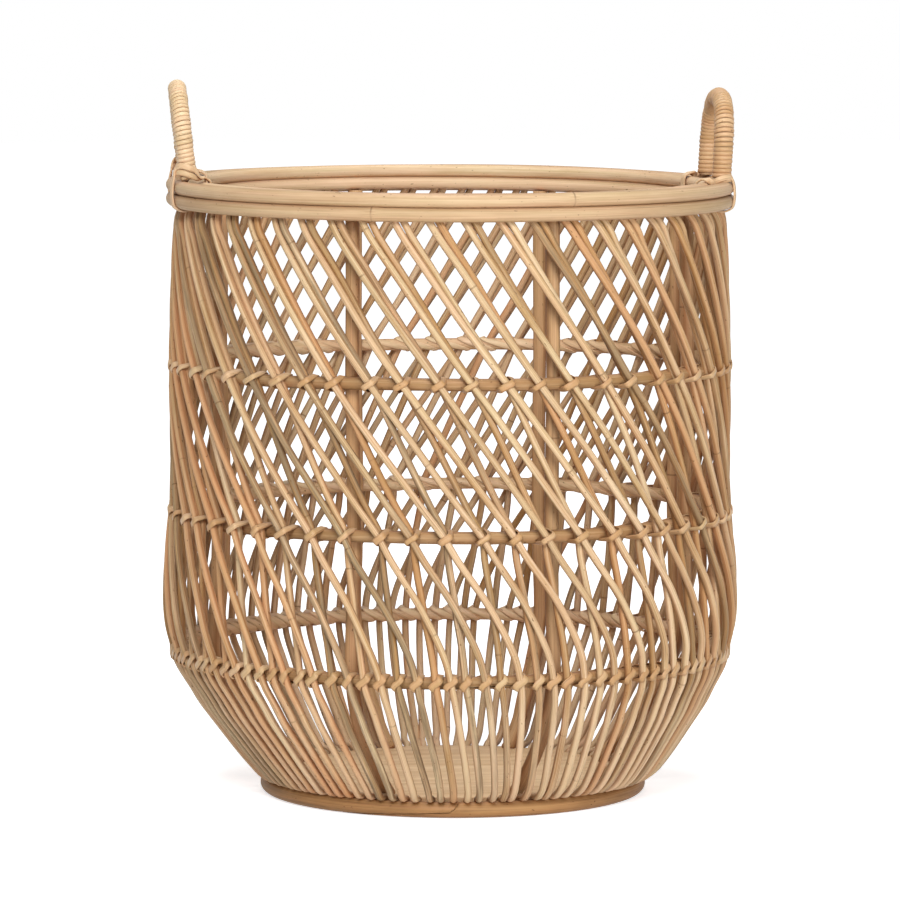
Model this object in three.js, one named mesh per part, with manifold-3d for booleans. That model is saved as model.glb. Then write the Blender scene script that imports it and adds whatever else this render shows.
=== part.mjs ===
// Round openwork cane basket with two wrapped loop handles.
// Millimetres, +Z up, origin at the middle of the underside; the handles stand at +X and -X.
import * as THREE from "three";
import Module from "manifold-3d";
import { mergeVertices } from "three/addons/utils/BufferGeometryUtils.js";

// Clearances between separate pieces
const SEAT_GAP = 0.3; // between a piece and what it lies against
const HOOP_GAP = 0.6; // between a hoop and the stakes and uprights, whose facets dip towards it
const TURN_GAP = 0.5; // least gap between two turns of a wrapping

// Canes, by diameter; the thin stakes are drawn as square bars of the same area
const RIM_CANE = 9.6;
const HOOP_CANE = 8.5;
const BASE_CANE = 11;
const UPRIGHT_CANE = 9.5;
const STAKE_CANE = 4.4;

// Heights above the ground, to the middle of each cane
const OUTER_RIM_HEIGHT = 412; // the lower of the two outer rim canes
const INNER_RIM_LIFT = 2.4; // how much higher the inner pair of rim canes sits
const UPPER_HOOP_HEIGHT = 299;
const MIDDLE_HOOP_HEIGHT = 197;
const LOWER_HOOP_HEIGHT = 100.6;

// Radii from the basket's axis
const RIM_OUTSIDE_RADIUS = 197;
const UPPER_HOOP_RADIUS = 185.75; // hoops, to the middle of the cane
const MIDDLE_HOOP_RADIUS = 182.25;
const LOWER_HOOP_RADIUS = 185.75;
const BASE_OUTSIDE_RADIUS = 135.6;

// Board inside the base ring
const BOARD_THICKNESS = 7.8;
const BOARD_LIFT = 5; // underside of the board above the ground

// Wall of slanting stakes
const PAIRS = 54; // pairs of stakes round the basket
const PAIRS_PER_BUNDLE = 2; // neighbouring pairs tied together as one piece
const PAIR_STEP = 5; // between the middles of the two stakes of a pair
const UPPER_DRIFT = 3.09; // pitches that a pair moves round, from the rim to the upper hoop
const MIDDLE_DRIFT = 3.2; // the outer stake, from the upper to the middle hoop
const CROSSING_DRIFT = 1.41; // the outer stake, from the middle hoop to the lower crossing
const LOWER_DRIFT = 2.12; // the outer stake, from the middle to the lower hoop
const FOOT_DRIFT = 0.42; // both stakes, from the lower hoop to the base ring
const CROSSING_GAP = 1.1; // between two stakes where they cross
const BITE = 0.3; // how far two crossing stakes of one bundle sink into each other
const STAKE_RECESS = 3; // stake tops below the top of the outer rim
const EXIT_DROP = 2.5; // below the rim, where the stakes begin to slant and splay
const EXIT_SPLAY = 2.6;
const SHOULDER_HEIGHT = 352; // wall points between the rim, the hoops and the base
const SHOULDER_INSET = 0.6; // inside the line of the stakes at the upper hoop
const WAIST_HEIGHT = 238;
const CROSSING_HEIGHT = 146; // where the outer stakes cross the inner ones a second time
const CROSSING_RADIUS = 198.3; // of the outer stakes there, at their widest
const KNEE_HEIGHT = 115;
const KNEE_RADIUS = 197.3;
const ANKLE_DROP = 4.2; // below the middle of the lower hoop, where the stakes turn in
const CALF_HEIGHT = 54;
const CALF_RADIUS = 169.3;

// Uprights nailed inside the hoops
const UPRIGHTS = 8;
const UPRIGHT_TURN = 19.25; // degrees from +X to the first one
const FOOT_MARGIN = 0.6; // from the foot of an upright to the board's edge

// Handles
const LEG_PITCHES = 2; // from the handle's middle to each leg, in pitches of the pairs
const LEG_STRAIGHT = 15; // straight part of a leg above the outer rim
const ARCH_RISE = 46; // round part above it
const HANDLE_LEAN = 6; // how far the top leans outwards
const HANDLE_CORE = 8.8;
const TONGUE_DEPTH = 10; // of the shaved leg end between the rims
const TONGUE_THICKNESS = 3;
const TONGUE_WIDTH = 7.5;
const WRAP_LOOPS = 24;
const WRAP_THICKNESS = 1.4;
const WRAP_MARGIN = 1.5; // from the shoulder of a leg to the first turn of its wrapping
const STRAP_THICKNESS = 2;
const STRAP_WIDTH = 3.4;

// Facets
const RING_STEPS = 36;
const ARCH_STEPS = 14;
const LOOP_STEPS = 8;

const TAU = 2 * Math.PI;
const PITCH = TAU / PAIRS;
const RIM_SIDES = 8;
const CANE_SIDES = 6;
const DEGREE = Math.PI / 180;

// Materials
function finish(color, roughness) {
  return new THREE.MeshStandardMaterial({ color, roughness, metalness: 0 });
}
const RIM_FINISH = finish("#d9bd92", 0.5);
const HOOP_FINISH = finish("#c39c6c", 0.6);
const STAKE_FINISH = finish("#c8a274", 0.6);
const UPRIGHT_FINISH = finish("#bd966a", 0.65);
const STRIP_FINISH = finish("#ddc29a", 0.45);
const BOARD_FINISH = finish("#dcb98a", 0.7);

const basket = new THREE.Group();

function addPiece(name, geometry, material) {
  const mesh = new THREE.Mesh(geometry, material);
  mesh.name = name;
  basket.add(mesh);
}

function twoDigits(number) {
  return String(number).padStart(2, "0");
}

// A point at a radius, an angle round the axis and a height
function at(radius, angle, height) {
  return new THREE.Vector3(radius * Math.cos(angle), radius * Math.sin(angle), height);
}

// How far the flats of a ring of cane dip inside its corners
function ringDip(radius) {
  return radius * (1 - Math.cos(Math.PI / RING_STEPS));
}

// Corners of a section whose flats lie at the cane's own radius, the first flat facing outwards
function caneSection(diameter, sides) {
  const corner = diameter / 2 / Math.cos(Math.PI / sides);
  return Array.from({ length: sides }, (_, i) => {
    const turn = (TAU * (i + 0.5)) / sides;
    return [corner * Math.cos(turn), corner * Math.sin(turn)];
  });
}

function flatSection(thickness, width) {
  const t = thickness / 2;
  const w = width / 2;
  return [[t, -w], [t, w], [-t, w], [-t, -w]];
}

// A closed body through a row of rings, each ring a list of points that turns
// anticlockwise as seen from ahead
function loft(rings) {
  const sides = rings[0].length;
  const positions = rings.flat().flatMap((p) => [p.x, p.y, p.z]);
  const index = [];
  for (let i = 0; i + 1 < rings.length; i++) {
    for (let j = 0; j < sides; j++) {
      const a = i * sides + j;
      const b = i * sides + ((j + 1) % sides);
      index.push(a, b, b + sides, a, b + sides, a + sides);
    }
  }
  const last = (rings.length - 1) * sides;
  for (let j = 1; j + 1 < sides; j++) {
    index.push(0, j + 1, j, last, last + j, last + j + 1);
  }
  const geometry = new THREE.BufferGeometry();
  geometry.setAttribute("position", new THREE.Float32BufferAttribute(positions, 3));
  geometry.setIndex(index);
  return geometry;
}

// A section carried along a path and mitred at its bends, so that it keeps its thickness.
// Its first axis points away from the basket's axis, or the way that facing gives
function ringsAlong(path, section, facing = (p) => new THREE.Vector3(p.x, p.y, 0)) {
  return path.map((point, i) => {
    const before = point.clone().sub(path[i - 1] ?? point).normalize();
    const after = (path[i + 1] ?? point).clone().sub(point).normalize();
    const way = before.clone().add(after).normalize();
    const bend = after.clone().sub(before);
    const stretch = i > 0 && i + 1 < path.length ? 1 / Math.cos(before.angleTo(after) / 2) - 1 : 0;
    bend.addScaledVector(way, -bend.dot(way)).normalize();
    const out = facing(point, i).normalize();
    out.addScaledVector(way, -out.dot(way)).normalize();
    const side = way.clone().cross(out);
    return section.map(([u, v]) => {
      const offset = out.clone().multiplyScalar(u).addScaledVector(side, v);
      return point.clone().add(offset).addScaledVector(bend, stretch * offset.dot(bend));
    });
  });
}

// Solids are joined with manifold-3d
const wasm = await Module();
wasm.setup();

function toSolid(geometry) {
  const merged = mergeVertices(geometry);
  return new wasm.Manifold(
    new wasm.Mesh({
      numProp: 3,
      vertProperties: merged.attributes.position.array,
      triVerts: new Uint32Array(merged.index.array),
    }),
  );
}

function toGeometry(solid) {
  const { vertProperties, triVerts } = solid.getMesh();
  const geometry = new THREE.BufferGeometry();
  geometry.setAttribute("position", new THREE.BufferAttribute(vertProperties, 3));
  geometry.setIndex(new THREE.BufferAttribute(triVerts, 1));
  return geometry;
}

// Least distance between the turns of a tube, measured on its points. Points closer
// along the tube than most of a turn are one turn
function leastGapToItself(rings, ringsApart) {
  const near = new THREE.Line3();
  const foot = new THREE.Vector3();
  let least = Infinity;
  for (let i = 0; i < rings.length; i++) {
    for (let k = i + ringsApart; k + 1 < rings.length; k++) {
      for (const point of rings[i]) {
        for (let j = 0; j < rings[k].length; j++) {
          near.set(rings[k][j], rings[k + 1][j]).closestPointToPoint(point, true, foot);
          least = Math.min(least, foot.distanceTo(point));
        }
      }
    }
  }
  return least;
}

// Rings of cane: four at the rim, three hoops and the one at the base
function caneRing(radius, height, diameter, sides) {
  const section = caneSection(diameter, sides).map(([u, v]) => new THREE.Vector2(radius + u, height + v));
  return new THREE.LatheGeometry([...section, section[0]], RING_STEPS).rotateX(Math.PI / 2);
}

const RIM_STEP = RIM_CANE + SEAT_GAP; // from the lower to the upper rim cane
const OUTER_RIM_RADIUS = RIM_OUTSIDE_RADIUS - RIM_CANE / 2;
const SLOT_OUTSIDE = RIM_OUTSIDE_RADIUS - RIM_CANE - ringDip(RIM_OUTSIDE_RADIUS) - SEAT_GAP;
const SLOT_RADIUS = SLOT_OUTSIDE - STAKE_CANE / 2;
const INNER_RIM_RADIUS = SLOT_OUTSIDE - STAKE_CANE - SEAT_GAP - RIM_CANE / 2;
const INNER_RIM_HEIGHT = OUTER_RIM_HEIGHT + INNER_RIM_LIFT;
const OUTER_RIM_BOTTOM = OUTER_RIM_HEIGHT - RIM_CANE / 2;
const OUTER_RIM_TOP = OUTER_RIM_HEIGHT + RIM_STEP + RIM_CANE / 2;

function rimCane(radius, height) {
  return caneRing(radius, height, RIM_CANE, RIM_SIDES);
}
addPiece("rim_outer_lower", rimCane(OUTER_RIM_RADIUS, OUTER_RIM_HEIGHT), RIM_FINISH);
addPiece("rim_outer_upper", rimCane(OUTER_RIM_RADIUS, OUTER_RIM_HEIGHT + RIM_STEP), RIM_FINISH);
addPiece("rim_inner_lower", rimCane(INNER_RIM_RADIUS, INNER_RIM_HEIGHT), RIM_FINISH);
addPiece("rim_inner_upper", rimCane(INNER_RIM_RADIUS, INNER_RIM_HEIGHT + RIM_STEP), RIM_FINISH);

function hoop(radius, height) {
  return caneRing(radius, height, HOOP_CANE, CANE_SIDES);
}
addPiece("hoop_upper", hoop(UPPER_HOOP_RADIUS, UPPER_HOOP_HEIGHT), HOOP_FINISH);
addPiece("hoop_middle", hoop(MIDDLE_HOOP_RADIUS, MIDDLE_HOOP_HEIGHT), HOOP_FINISH);
addPiece("hoop_lower", hoop(LOWER_HOOP_RADIUS, LOWER_HOOP_HEIGHT), HOOP_FINISH);

const BASE_RADIUS = BASE_OUTSIDE_RADIUS - BASE_CANE / 2;
addPiece("base_ring", caneRing(BASE_RADIUS, BASE_CANE / 2, BASE_CANE, RIM_SIDES), HOOP_FINISH);

// Board that lies inside the base ring, its corners in line with the ring's
const BOARD_RADIUS = BASE_OUTSIDE_RADIUS - BASE_CANE - SEAT_GAP;
const BOARD_TOP = BOARD_LIFT + BOARD_THICKNESS;
addPiece(
  "base_board",
  new THREE.CylinderGeometry(BOARD_RADIUS, BOARD_RADIUS, BOARD_THICKNESS, RING_STEPS)
    .rotateX(Math.PI / 2)
    .translate(0, 0, BOARD_TOP - BOARD_THICKNESS / 2),
  BOARD_FINISH,
);

// Stakes. Each pair starts side by side in the slot between the rims. The outer stake
// of a pair then crosses over the inner one of the next pair at the middle hoop, and
// over that of the pair after it above the lower hoop
const LAYER = STAKE_CANE + CROSSING_GAP; // from an inner stake to an outer one across it
const ON_HOOP = (HOOP_CANE + STAKE_CANE) / 2 + HOOP_GAP; // from a hoop's middle to a stake's
const UPPER_STAKE_RADIUS = UPPER_HOOP_RADIUS + ON_HOOP;
const MIDDLE_STAKE_RADIUS = MIDDLE_HOOP_RADIUS + ON_HOOP;
const LOWER_STAKE_RADIUS = LOWER_HOOP_RADIUS + ON_HOOP;
const STAKE_TOP = OUTER_RIM_TOP - STAKE_RECESS - STAKE_CANE / 2;
const SLOT_END = OUTER_RIM_HEIGHT - (RIM_CANE / 2) * Math.tan(Math.PI / RIM_SIDES) - 2 * SEAT_GAP;
const EXIT_HEIGHT = OUTER_RIM_BOTTOM - EXIT_DROP;
const SHOULDER_SHARE = (EXIT_HEIGHT - SHOULDER_HEIGHT) / (EXIT_HEIGHT - UPPER_HOOP_HEIGHT);
const WAIST_SHARE = (UPPER_HOOP_HEIGHT - WAIST_HEIGHT) / (UPPER_HOOP_HEIGHT - MIDDLE_HOOP_HEIGHT);
const ANKLE_HEIGHT = LOWER_HOOP_HEIGHT - ANKLE_DROP;
const KNEE_SHARE = (CROSSING_HEIGHT - KNEE_HEIGHT) / (CROSSING_HEIGHT - ANKLE_HEIGHT);
const UPPER_SLANT = Math.atan2(UPPER_DRIFT * PITCH * UPPER_STAKE_RADIUS, EXIT_HEIGHT - UPPER_HOOP_HEIGHT);

function mix(a, b, share) {
  return a + (b - a) * share;
}

// Where the stakes stop, short of the base ring's corners
function stakeFoot() {
  const ring = new THREE.Vector2(BASE_RADIUS, BASE_CANE / 2);
  const away = new THREE.Vector2(CALF_RADIUS, CALF_HEIGHT).sub(ring).normalize();
  const corner = BASE_CANE / 2 / Math.cos(Math.PI / RIM_SIDES);
  return ring.addScaledVector(away, corner + SEAT_GAP);
}
const STAKE_FOOT = stakeFoot();

// The middle line of one stake. Side is +1 for the outer stake of a pair and -1 for
// the inner one. A pressed inner stake bites into the outer one that crosses it
function stakePath(pair, side, pressed) {
  const outer = side > 0;
  const start = (pair + 0.5) * PITCH;
  const upper = start + UPPER_DRIFT * PITCH;
  const middle = upper + (outer ? MIDDLE_DRIFT : MIDDLE_DRIFT - 1) * PITCH;
  const crossing = middle + (outer ? CROSSING_DRIFT : CROSSING_DRIFT - 1) * PITCH;
  const lower = middle + (outer ? LOWER_DRIFT : LOWER_DRIFT - 1.5) * PITCH;
  const foot = lower + FOOT_DRIFT * PITCH;
  const apart = (side * PAIR_STEP) / 2 / SLOT_RADIUS;
  const slanted = (side * PAIR_STEP) / 2 / Math.cos(UPPER_SLANT) / UPPER_STAKE_RADIUS;
  const press = pressed ? CROSSING_GAP + BITE : 0;
  const middleRadius = MIDDLE_STAKE_RADIUS + (outer ? LAYER : press);
  const path = [
    at(SLOT_RADIUS, start + apart, STAKE_TOP),
    at(SLOT_RADIUS, start + apart, SLOT_END),
    at(SLOT_RADIUS + EXIT_SPLAY, start + slanted, EXIT_HEIGHT),
    at(UPPER_STAKE_RADIUS - SHOULDER_INSET, mix(start, upper, SHOULDER_SHARE) + slanted, SHOULDER_HEIGHT),
    at(UPPER_STAKE_RADIUS, upper + slanted, UPPER_HOOP_HEIGHT),
    at(middleRadius, mix(upper + slanted, middle, WAIST_SHARE), WAIST_HEIGHT),
    at(middleRadius, middle, MIDDLE_HOOP_HEIGHT),
    at(CROSSING_RADIUS - (outer ? 0 : LAYER), crossing, CROSSING_HEIGHT),
    at(KNEE_RADIUS, mix(crossing, lower, KNEE_SHARE), KNEE_HEIGHT),
    at(LOWER_STAKE_RADIUS, lower, ANKLE_HEIGHT),
    at(CALF_RADIUS, mix(lower, foot, 0.5), CALF_HEIGHT),
    at(STAKE_FOOT.x, foot, STAKE_FOOT.y),
  ];
  return outer ? path : path.filter(({ z }) => z !== WAIST_HEIGHT && z !== KNEE_HEIGHT);
}

// The two stakes of a pair are one body, joined at their tops between the rims
function pairOfStakes(pair, pressed) {
  const path = [...stakePath(pair, 1, false).reverse(), ...stakePath(pair, -1, pressed)];
  return toSolid(loft(ringsAlong(path, flatSection(STAKE_CANE, STAKE_CANE))));
}

function bundle(firstPair) {
  const pairs = Array.from({ length: PAIRS_PER_BUNDLE }, (_, i) => pairOfStakes(firstPair + i, i > 0));
  return toGeometry(pairs.reduce((joined, next) => joined.add(next)));
}

for (let i = 0; i < PAIRS / PAIRS_PER_BUNDLE; i++) {
  addPiece("stakes_" + twoDigits(i + 1), bundle(i * PAIRS_PER_BUNDLE), STAKE_FINISH);
}

// Uprights, which stand on the board, follow the wall and end under the inner rim
function uprightRadius(hoopRadius) {
  return hoopRadius - HOOP_CANE / 2 - ringDip(hoopRadius) - HOOP_GAP - UPRIGHT_CANE / 2;
}

const FOOT_SLOPE = Math.atan2(CALF_RADIUS - STAKE_FOOT.x, CALF_HEIGHT - STAKE_FOOT.y);
const UPRIGHT_CALF_RADIUS =
  CALF_RADIUS - (STAKE_CANE / 2 + SEAT_GAP + UPRIGHT_CANE / 2 + ringDip(CALF_RADIUS)) / Math.cos(FOOT_SLOPE);
const UPRIGHT_CORNER = UPRIGHT_CANE / 2 / Math.cos(Math.PI / CANE_SIDES);
const UPRIGHT_FOOT_RADIUS = BOARD_RADIUS - ringDip(BOARD_RADIUS) - FOOT_MARGIN - UPRIGHT_CORNER;

function upright(angle) {
  const path = [
    at(UPRIGHT_FOOT_RADIUS, angle, BOARD_TOP + SEAT_GAP),
    at(UPRIGHT_CALF_RADIUS, angle, CALF_HEIGHT),
    at(uprightRadius(LOWER_HOOP_RADIUS), angle, LOWER_HOOP_HEIGHT),
    at(uprightRadius(MIDDLE_HOOP_RADIUS), angle, MIDDLE_HOOP_HEIGHT),
    at(uprightRadius(UPPER_HOOP_RADIUS), angle, UPPER_HOOP_HEIGHT),
    at(uprightRadius(UPPER_HOOP_RADIUS), angle, INNER_RIM_HEIGHT - RIM_CANE / 2 - SEAT_GAP),
  ];
  const section = caneSection(UPRIGHT_CANE, CANE_SIDES);
  const rings = ringsAlong(path, section);
  rings[0] = levelRing(path[0], section, true);
  return loft(rings);
}

for (let i = 0; i < UPRIGHTS; i++) {
  const angle = UPRIGHT_TURN * DEGREE + (TAU * i) / UPRIGHTS;
  addPiece("upright_" + twoDigits(i + 1), upright(angle), UPRIGHT_FINISH);
}

// Handles. The core of each leg stands over the outer rim and against the inner one,
// and a tongue shaved on its inner side goes down between the rims
const SHOULDER = OUTER_RIM_TOP + SEAT_GAP;
const LEG_ANGLE = LEG_PITCHES * PITCH;
const CORE_CORNER = HANDLE_CORE / 2 / Math.cos(Math.PI / RIM_SIDES);
const TONGUE_RADIUS = SLOT_OUTSIDE - TONGUE_THICKNESS / 2;
const LEG_RADIUS = SLOT_OUTSIDE - TONGUE_THICKNESS + HANDLE_CORE / 2;
const HALF_SPAN = LEG_RADIUS * Math.sin(LEG_ANGLE);
const HANDLE_RADIUS = LEG_RADIUS * Math.cos(LEG_ANGLE);
const HANDLE_RISE = LEG_STRAIGHT + ARCH_RISE;

// A point of the handle's middle plane, along the rim and above the leg's shoulder
function onHandle(turn, along, up) {
  const lean = (HANDLE_LEAN * up) / HANDLE_RISE;
  return new THREE.Vector3(HANDLE_RADIUS + lean, along, SHOULDER + up).applyAxisAngle(
    new THREE.Vector3(0, 0, 1),
    turn,
  );
}

// The handle's middle line from leg to leg: straight, half round, straight
function archPath(turn) {
  const path = [onHandle(turn, -HALF_SPAN, 0)];
  for (let i = 0; i <= ARCH_STEPS; i++) {
    const angle = Math.PI * (1 - i / ARCH_STEPS);
    path.push(onHandle(turn, HALF_SPAN * Math.cos(angle), LEG_STRAIGHT + ARCH_RISE * Math.sin(angle)));
  }
  path.push(onHandle(turn, HALF_SPAN, 0));
  return path;
}

// A level ring at the foot of a leg or an upright, for a path that travels up or down there
function levelRing(point, section, up) {
  const out = new THREE.Vector3(point.x, point.y, 0).normalize();
  const side = new THREE.Vector3(0, 0, up ? 1 : -1).cross(out);
  return section.map(([u, v]) => point.clone().addScaledVector(out, u).addScaledVector(side, v));
}

function tongue(angle) {
  const bottom = at(TONGUE_RADIUS, angle, SHOULDER - TONGUE_DEPTH);
  const top = at(TONGUE_RADIUS, angle, SHOULDER + TONGUE_THICKNESS);
  const section = flatSection(TONGUE_THICKNESS, TONGUE_WIDTH);
  return toSolid(loft([levelRing(bottom, section, true), levelRing(top, section, true)]));
}

function handle(turn) {
  const path = archPath(turn);
  const section = caneSection(HANDLE_CORE, RIM_SIDES);
  const rings = ringsAlong(path, section);
  rings[0] = levelRing(path[0], section, true);
  rings[rings.length - 1] = levelRing(path[path.length - 1], section, false);
  const core = toSolid(loft(rings));
  return toGeometry(core.add(tongue(turn - LEG_ANGLE)).add(tongue(turn + LEG_ANGLE)));
}

// Points at even steps along the handle's middle line, each with the way it runs
function alongArch(turn, from, steps) {
  const arch = new THREE.CurvePath();
  arch.add(new THREE.LineCurve3(onHandle(turn, -HALF_SPAN, 0), onHandle(turn, -HALF_SPAN, LEG_STRAIGHT)));
  const round = Array.from({ length: 4 * ARCH_STEPS + 1 }, (_, i) => {
    const angle = Math.PI * (1 - i / (4 * ARCH_STEPS));
    return onHandle(turn, HALF_SPAN * Math.cos(angle), LEG_STRAIGHT + ARCH_RISE * Math.sin(angle));
  });
  arch.add(new THREE.CatmullRomCurve3(round));
  arch.add(new THREE.LineCurve3(onHandle(turn, HALF_SPAN, LEG_STRAIGHT), onHandle(turn, HALF_SPAN, 0)));
  const length = arch.getLength();
  return Array.from({ length: steps + 1 }, (_, i) => {
    const share = mix(from, length - from, i / steps) / length;
    return { point: arch.getPointAt(share), way: arch.getTangentAt(share), length };
  });
}

// Wrapping of a handle: one flat strip that winds round the core from leg to leg. Each
// end runs straight for one width of the strip
const ARCH_DIP = HALF_SPAN * (1 - Math.cos(Math.PI / 2 / ARCH_STEPS)); // of the core's straight facets
const WRAP_INSIDE = CORE_CORNER + 2 * SEAT_GAP + ARCH_DIP / 2;
const WRAP_MIDDLE = WRAP_INSIDE + WRAP_THICKNESS / 2;
const WRAP_OUTSIDE = WRAP_INSIDE + WRAP_THICKNESS;
const INNER_BEND = 1 - WRAP_OUTSIDE / Math.min(ARCH_RISE, HALF_SPAN); // how much closer turns lie there

function wrapping(turn) {
  const steps = WRAP_LOOPS * LOOP_STEPS - 1;
  const length = alongArch(turn, 0, 1)[0].length;
  const wrapPitch = (length - 2 * WRAP_MARGIN) / (WRAP_LOOPS + 1);
  const width = wrapPitch * INNER_BEND - TURN_GAP;
  const rings = [];
  const section = flatSection(WRAP_THICKNESS, width);
  const line = alongArch(turn, WRAP_MARGIN + wrapPitch / 2, steps);
  line.forEach(({ point, way }, i) => {
    const out = new THREE.Vector3(point.x, point.y, 0).normalize();
    out.addScaledVector(way, -out.dot(way)).normalize();
    const side = way.clone().cross(out);
    const angle = (TAU * (i + 0.5)) / LOOP_STEPS;
    const radial = out.clone().multiplyScalar(Math.cos(angle)).addScaledVector(side, Math.sin(angle));
    const middle = point.clone().addScaledVector(radial, WRAP_MIDDLE);
    const ring = section.map(([u, v]) => middle.clone().addScaledVector(radial, u).addScaledVector(way, -v));
    const ahead = radial.clone().cross(way).multiplyScalar(-width);
    if (i === 0) rings.push(ring.map((corner) => corner.clone().sub(ahead)));
    rings.push(ring);
    if (i === steps) rings.push(ring.map((corner) => corner.clone().add(ahead)));
  });
  console.log("handle wrapping, least gap to itself", leastGapToItself(rings, LOOP_STEPS - 2).toFixed(2));
  return loft(rings);
}

// Lashing of a leg: one strap that goes round the four rim canes on both sides of the leg
const RIM_CORNER = RIM_CANE / 2 / Math.cos(Math.PI / RIM_SIDES);
const STRAP_REACH = RIM_CORNER + SEAT_GAP + STRAP_THICKNESS / 2 / Math.cos(Math.PI / RIM_SIDES);
const STRAP_NEAR = STRAP_WIDTH / 2 + TURN_GAP; // from the leg's middle, where it passes below the rim
const STRAP_FAR = WRAP_OUTSIDE + STRAP_WIDTH / 2 + TURN_GAP; // where it passes over the rim

const RIM_CENTRES = {
  outerLower: new THREE.Vector2(OUTER_RIM_RADIUS, OUTER_RIM_HEIGHT),
  outerUpper: new THREE.Vector2(OUTER_RIM_RADIUS, OUTER_RIM_HEIGHT + RIM_STEP),
  innerUpper: new THREE.Vector2(INNER_RIM_RADIUS, INNER_RIM_HEIGHT + RIM_STEP),
  innerLower: new THREE.Vector2(INNER_RIM_RADIUS, INNER_RIM_HEIGHT),
};

function lashing(legAngle) {
  // Rim cane, degrees round it from outwards, and the place along the rim from the leg
  const passes = [
    ["innerLower", 202.5, -STRAP_NEAR],
    ["innerLower", 247.5, -STRAP_NEAR],
    ["outerLower", -112.5, -STRAP_NEAR],
    ["outerLower", -67.5, -STRAP_NEAR],
    ["outerLower", -22.5, -STRAP_NEAR],
    ["outerUpper", 22.5, -STRAP_FAR],
    ["outerUpper", 67.5, -STRAP_FAR],
    ["innerUpper", 67.5, -STRAP_FAR],
    ["innerUpper", 112.5, -STRAP_FAR],
    ["innerUpper", 157.5, -STRAP_FAR],
    ["innerLower", 202.5, STRAP_NEAR],
    ["innerLower", 247.5, STRAP_NEAR],
    ["outerLower", -112.5, STRAP_NEAR],
    ["outerLower", -67.5, STRAP_NEAR],
    ["outerLower", -22.5, STRAP_NEAR],
    ["outerUpper", 22.5, STRAP_FAR],
    ["outerUpper", 67.5, STRAP_FAR],
    ["innerUpper", 67.5, STRAP_FAR],
    ["innerUpper", 112.5, STRAP_FAR],
    ["innerUpper", 157.5, STRAP_FAR],
    ["innerLower", 202.5, STRAP_FAR],
  ];
  const outs = [];
  const path = passes.map(([canePassed, degrees, along]) => {
    const turn = degrees * DEGREE;
    const centre = RIM_CENTRES[canePassed];
    const dip = Math.cos(turn) < 0 ? ringDip(centre.x) + SEAT_GAP : 0;
    const radius = centre.x - dip + STRAP_REACH * Math.cos(turn);
    const angle = legAngle + along / radius;
    outs.push(at(Math.cos(turn), angle, Math.sin(turn)));
    return at(radius, angle, centre.y + STRAP_REACH * Math.sin(turn));
  });
  const rings = ringsAlong(path, flatSection(STRAP_THICKNESS, STRAP_WIDTH), (_, i) => outs[i].clone());
  console.log("leg lashing, least gap to itself", leastGapToItself(rings, 5).toFixed(2));
  return loft(rings);
}

// Each side's place round the basket, and which way its front leg lies
for (const [side, turn, front] of [["right", 0, -1], ["left", Math.PI, 1]]) {
  addPiece("handle_" + side, handle(turn), STRIP_FINISH);
  addPiece("handle_" + side + "_wrap", wrapping(turn), STRIP_FINISH);
  addPiece("lashing_" + side + "_front", lashing(turn + front * LEG_ANGLE), STRIP_FINISH);
  addPiece("lashing_" + side + "_back", lashing(turn - front * LEG_ANGLE), STRIP_FINISH);
}

export default basket;
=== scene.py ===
# %% [markdown]
# # A round cane basket
# The basket is tied together from canes: thick ones bent into rings, thin ones slanting
# round them in pairs, and flat strips of peel that lash everything. The plain solids are
# loaded first and stay as the frame, and each piece made here goes where its solid is.

# %% Load the frame
import bpy
import numpy as np
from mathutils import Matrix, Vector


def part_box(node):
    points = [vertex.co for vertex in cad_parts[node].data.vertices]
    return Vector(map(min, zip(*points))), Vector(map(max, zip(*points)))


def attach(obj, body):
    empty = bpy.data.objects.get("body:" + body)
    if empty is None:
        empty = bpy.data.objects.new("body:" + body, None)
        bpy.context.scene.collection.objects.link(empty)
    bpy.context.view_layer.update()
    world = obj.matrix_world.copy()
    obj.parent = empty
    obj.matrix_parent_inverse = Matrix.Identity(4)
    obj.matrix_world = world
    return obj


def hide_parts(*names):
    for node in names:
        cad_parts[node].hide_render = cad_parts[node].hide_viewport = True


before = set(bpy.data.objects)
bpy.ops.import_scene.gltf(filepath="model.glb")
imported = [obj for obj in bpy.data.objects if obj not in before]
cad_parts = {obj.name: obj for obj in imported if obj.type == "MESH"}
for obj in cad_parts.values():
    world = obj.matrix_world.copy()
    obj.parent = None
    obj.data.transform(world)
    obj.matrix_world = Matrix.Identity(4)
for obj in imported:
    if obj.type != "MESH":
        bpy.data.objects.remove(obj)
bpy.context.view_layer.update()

# %% [markdown]
# Lengths are written in millimetres, and turned into metres only where Blender gets them.
# The heights and thicknesses of the rings are read off the solids, so that both agree.

# %% Measures of the solids
MM = 0.001
TAU = 2 * np.pi


def level(node):
    """Height of the middle of a solid's box, in millimetres to a tenth."""
    low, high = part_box(node)
    return round((low.z + high.z) / 2 / MM, 1)


def thickness(node):
    """Height from the bottom to the top of a solid's box."""
    low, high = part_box(node)
    return round((high.z - low.z) / MM, 1)


RIM, BASE = thickness("rim_outer_lower"), thickness("base_ring")
RIM_HEIGHT = level("rim_outer_lower")
UPPER, MIDDLE_HOOP, LOWER = level("hoop_upper"), level("hoop_middle"), level("hoop_lower")
BOARD_LOW, BOARD_TOP = [round(corner.z / MM, 1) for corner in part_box("base_board")]
OUTSIDE = round(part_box("rim_outer_lower")[1].x / MM, 1)
print("rim", RIM, "at", RIM_HEIGHT, "radius", OUTSIDE, "hoops at", UPPER, MIDDLE_HOOP, LOWER)

# %% [markdown]
# ## Camera, light and floor
# The basket was photographed from nearly four metres away with a long lens, a little
# above its rim, and the camera looked slightly down. Such a lens keeps the far rim almost
# as wide as the near one. The camera goes in first, because every other choice is judged
# through it. A position, a tilt and a focal length would do; here they come from a fit.

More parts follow.
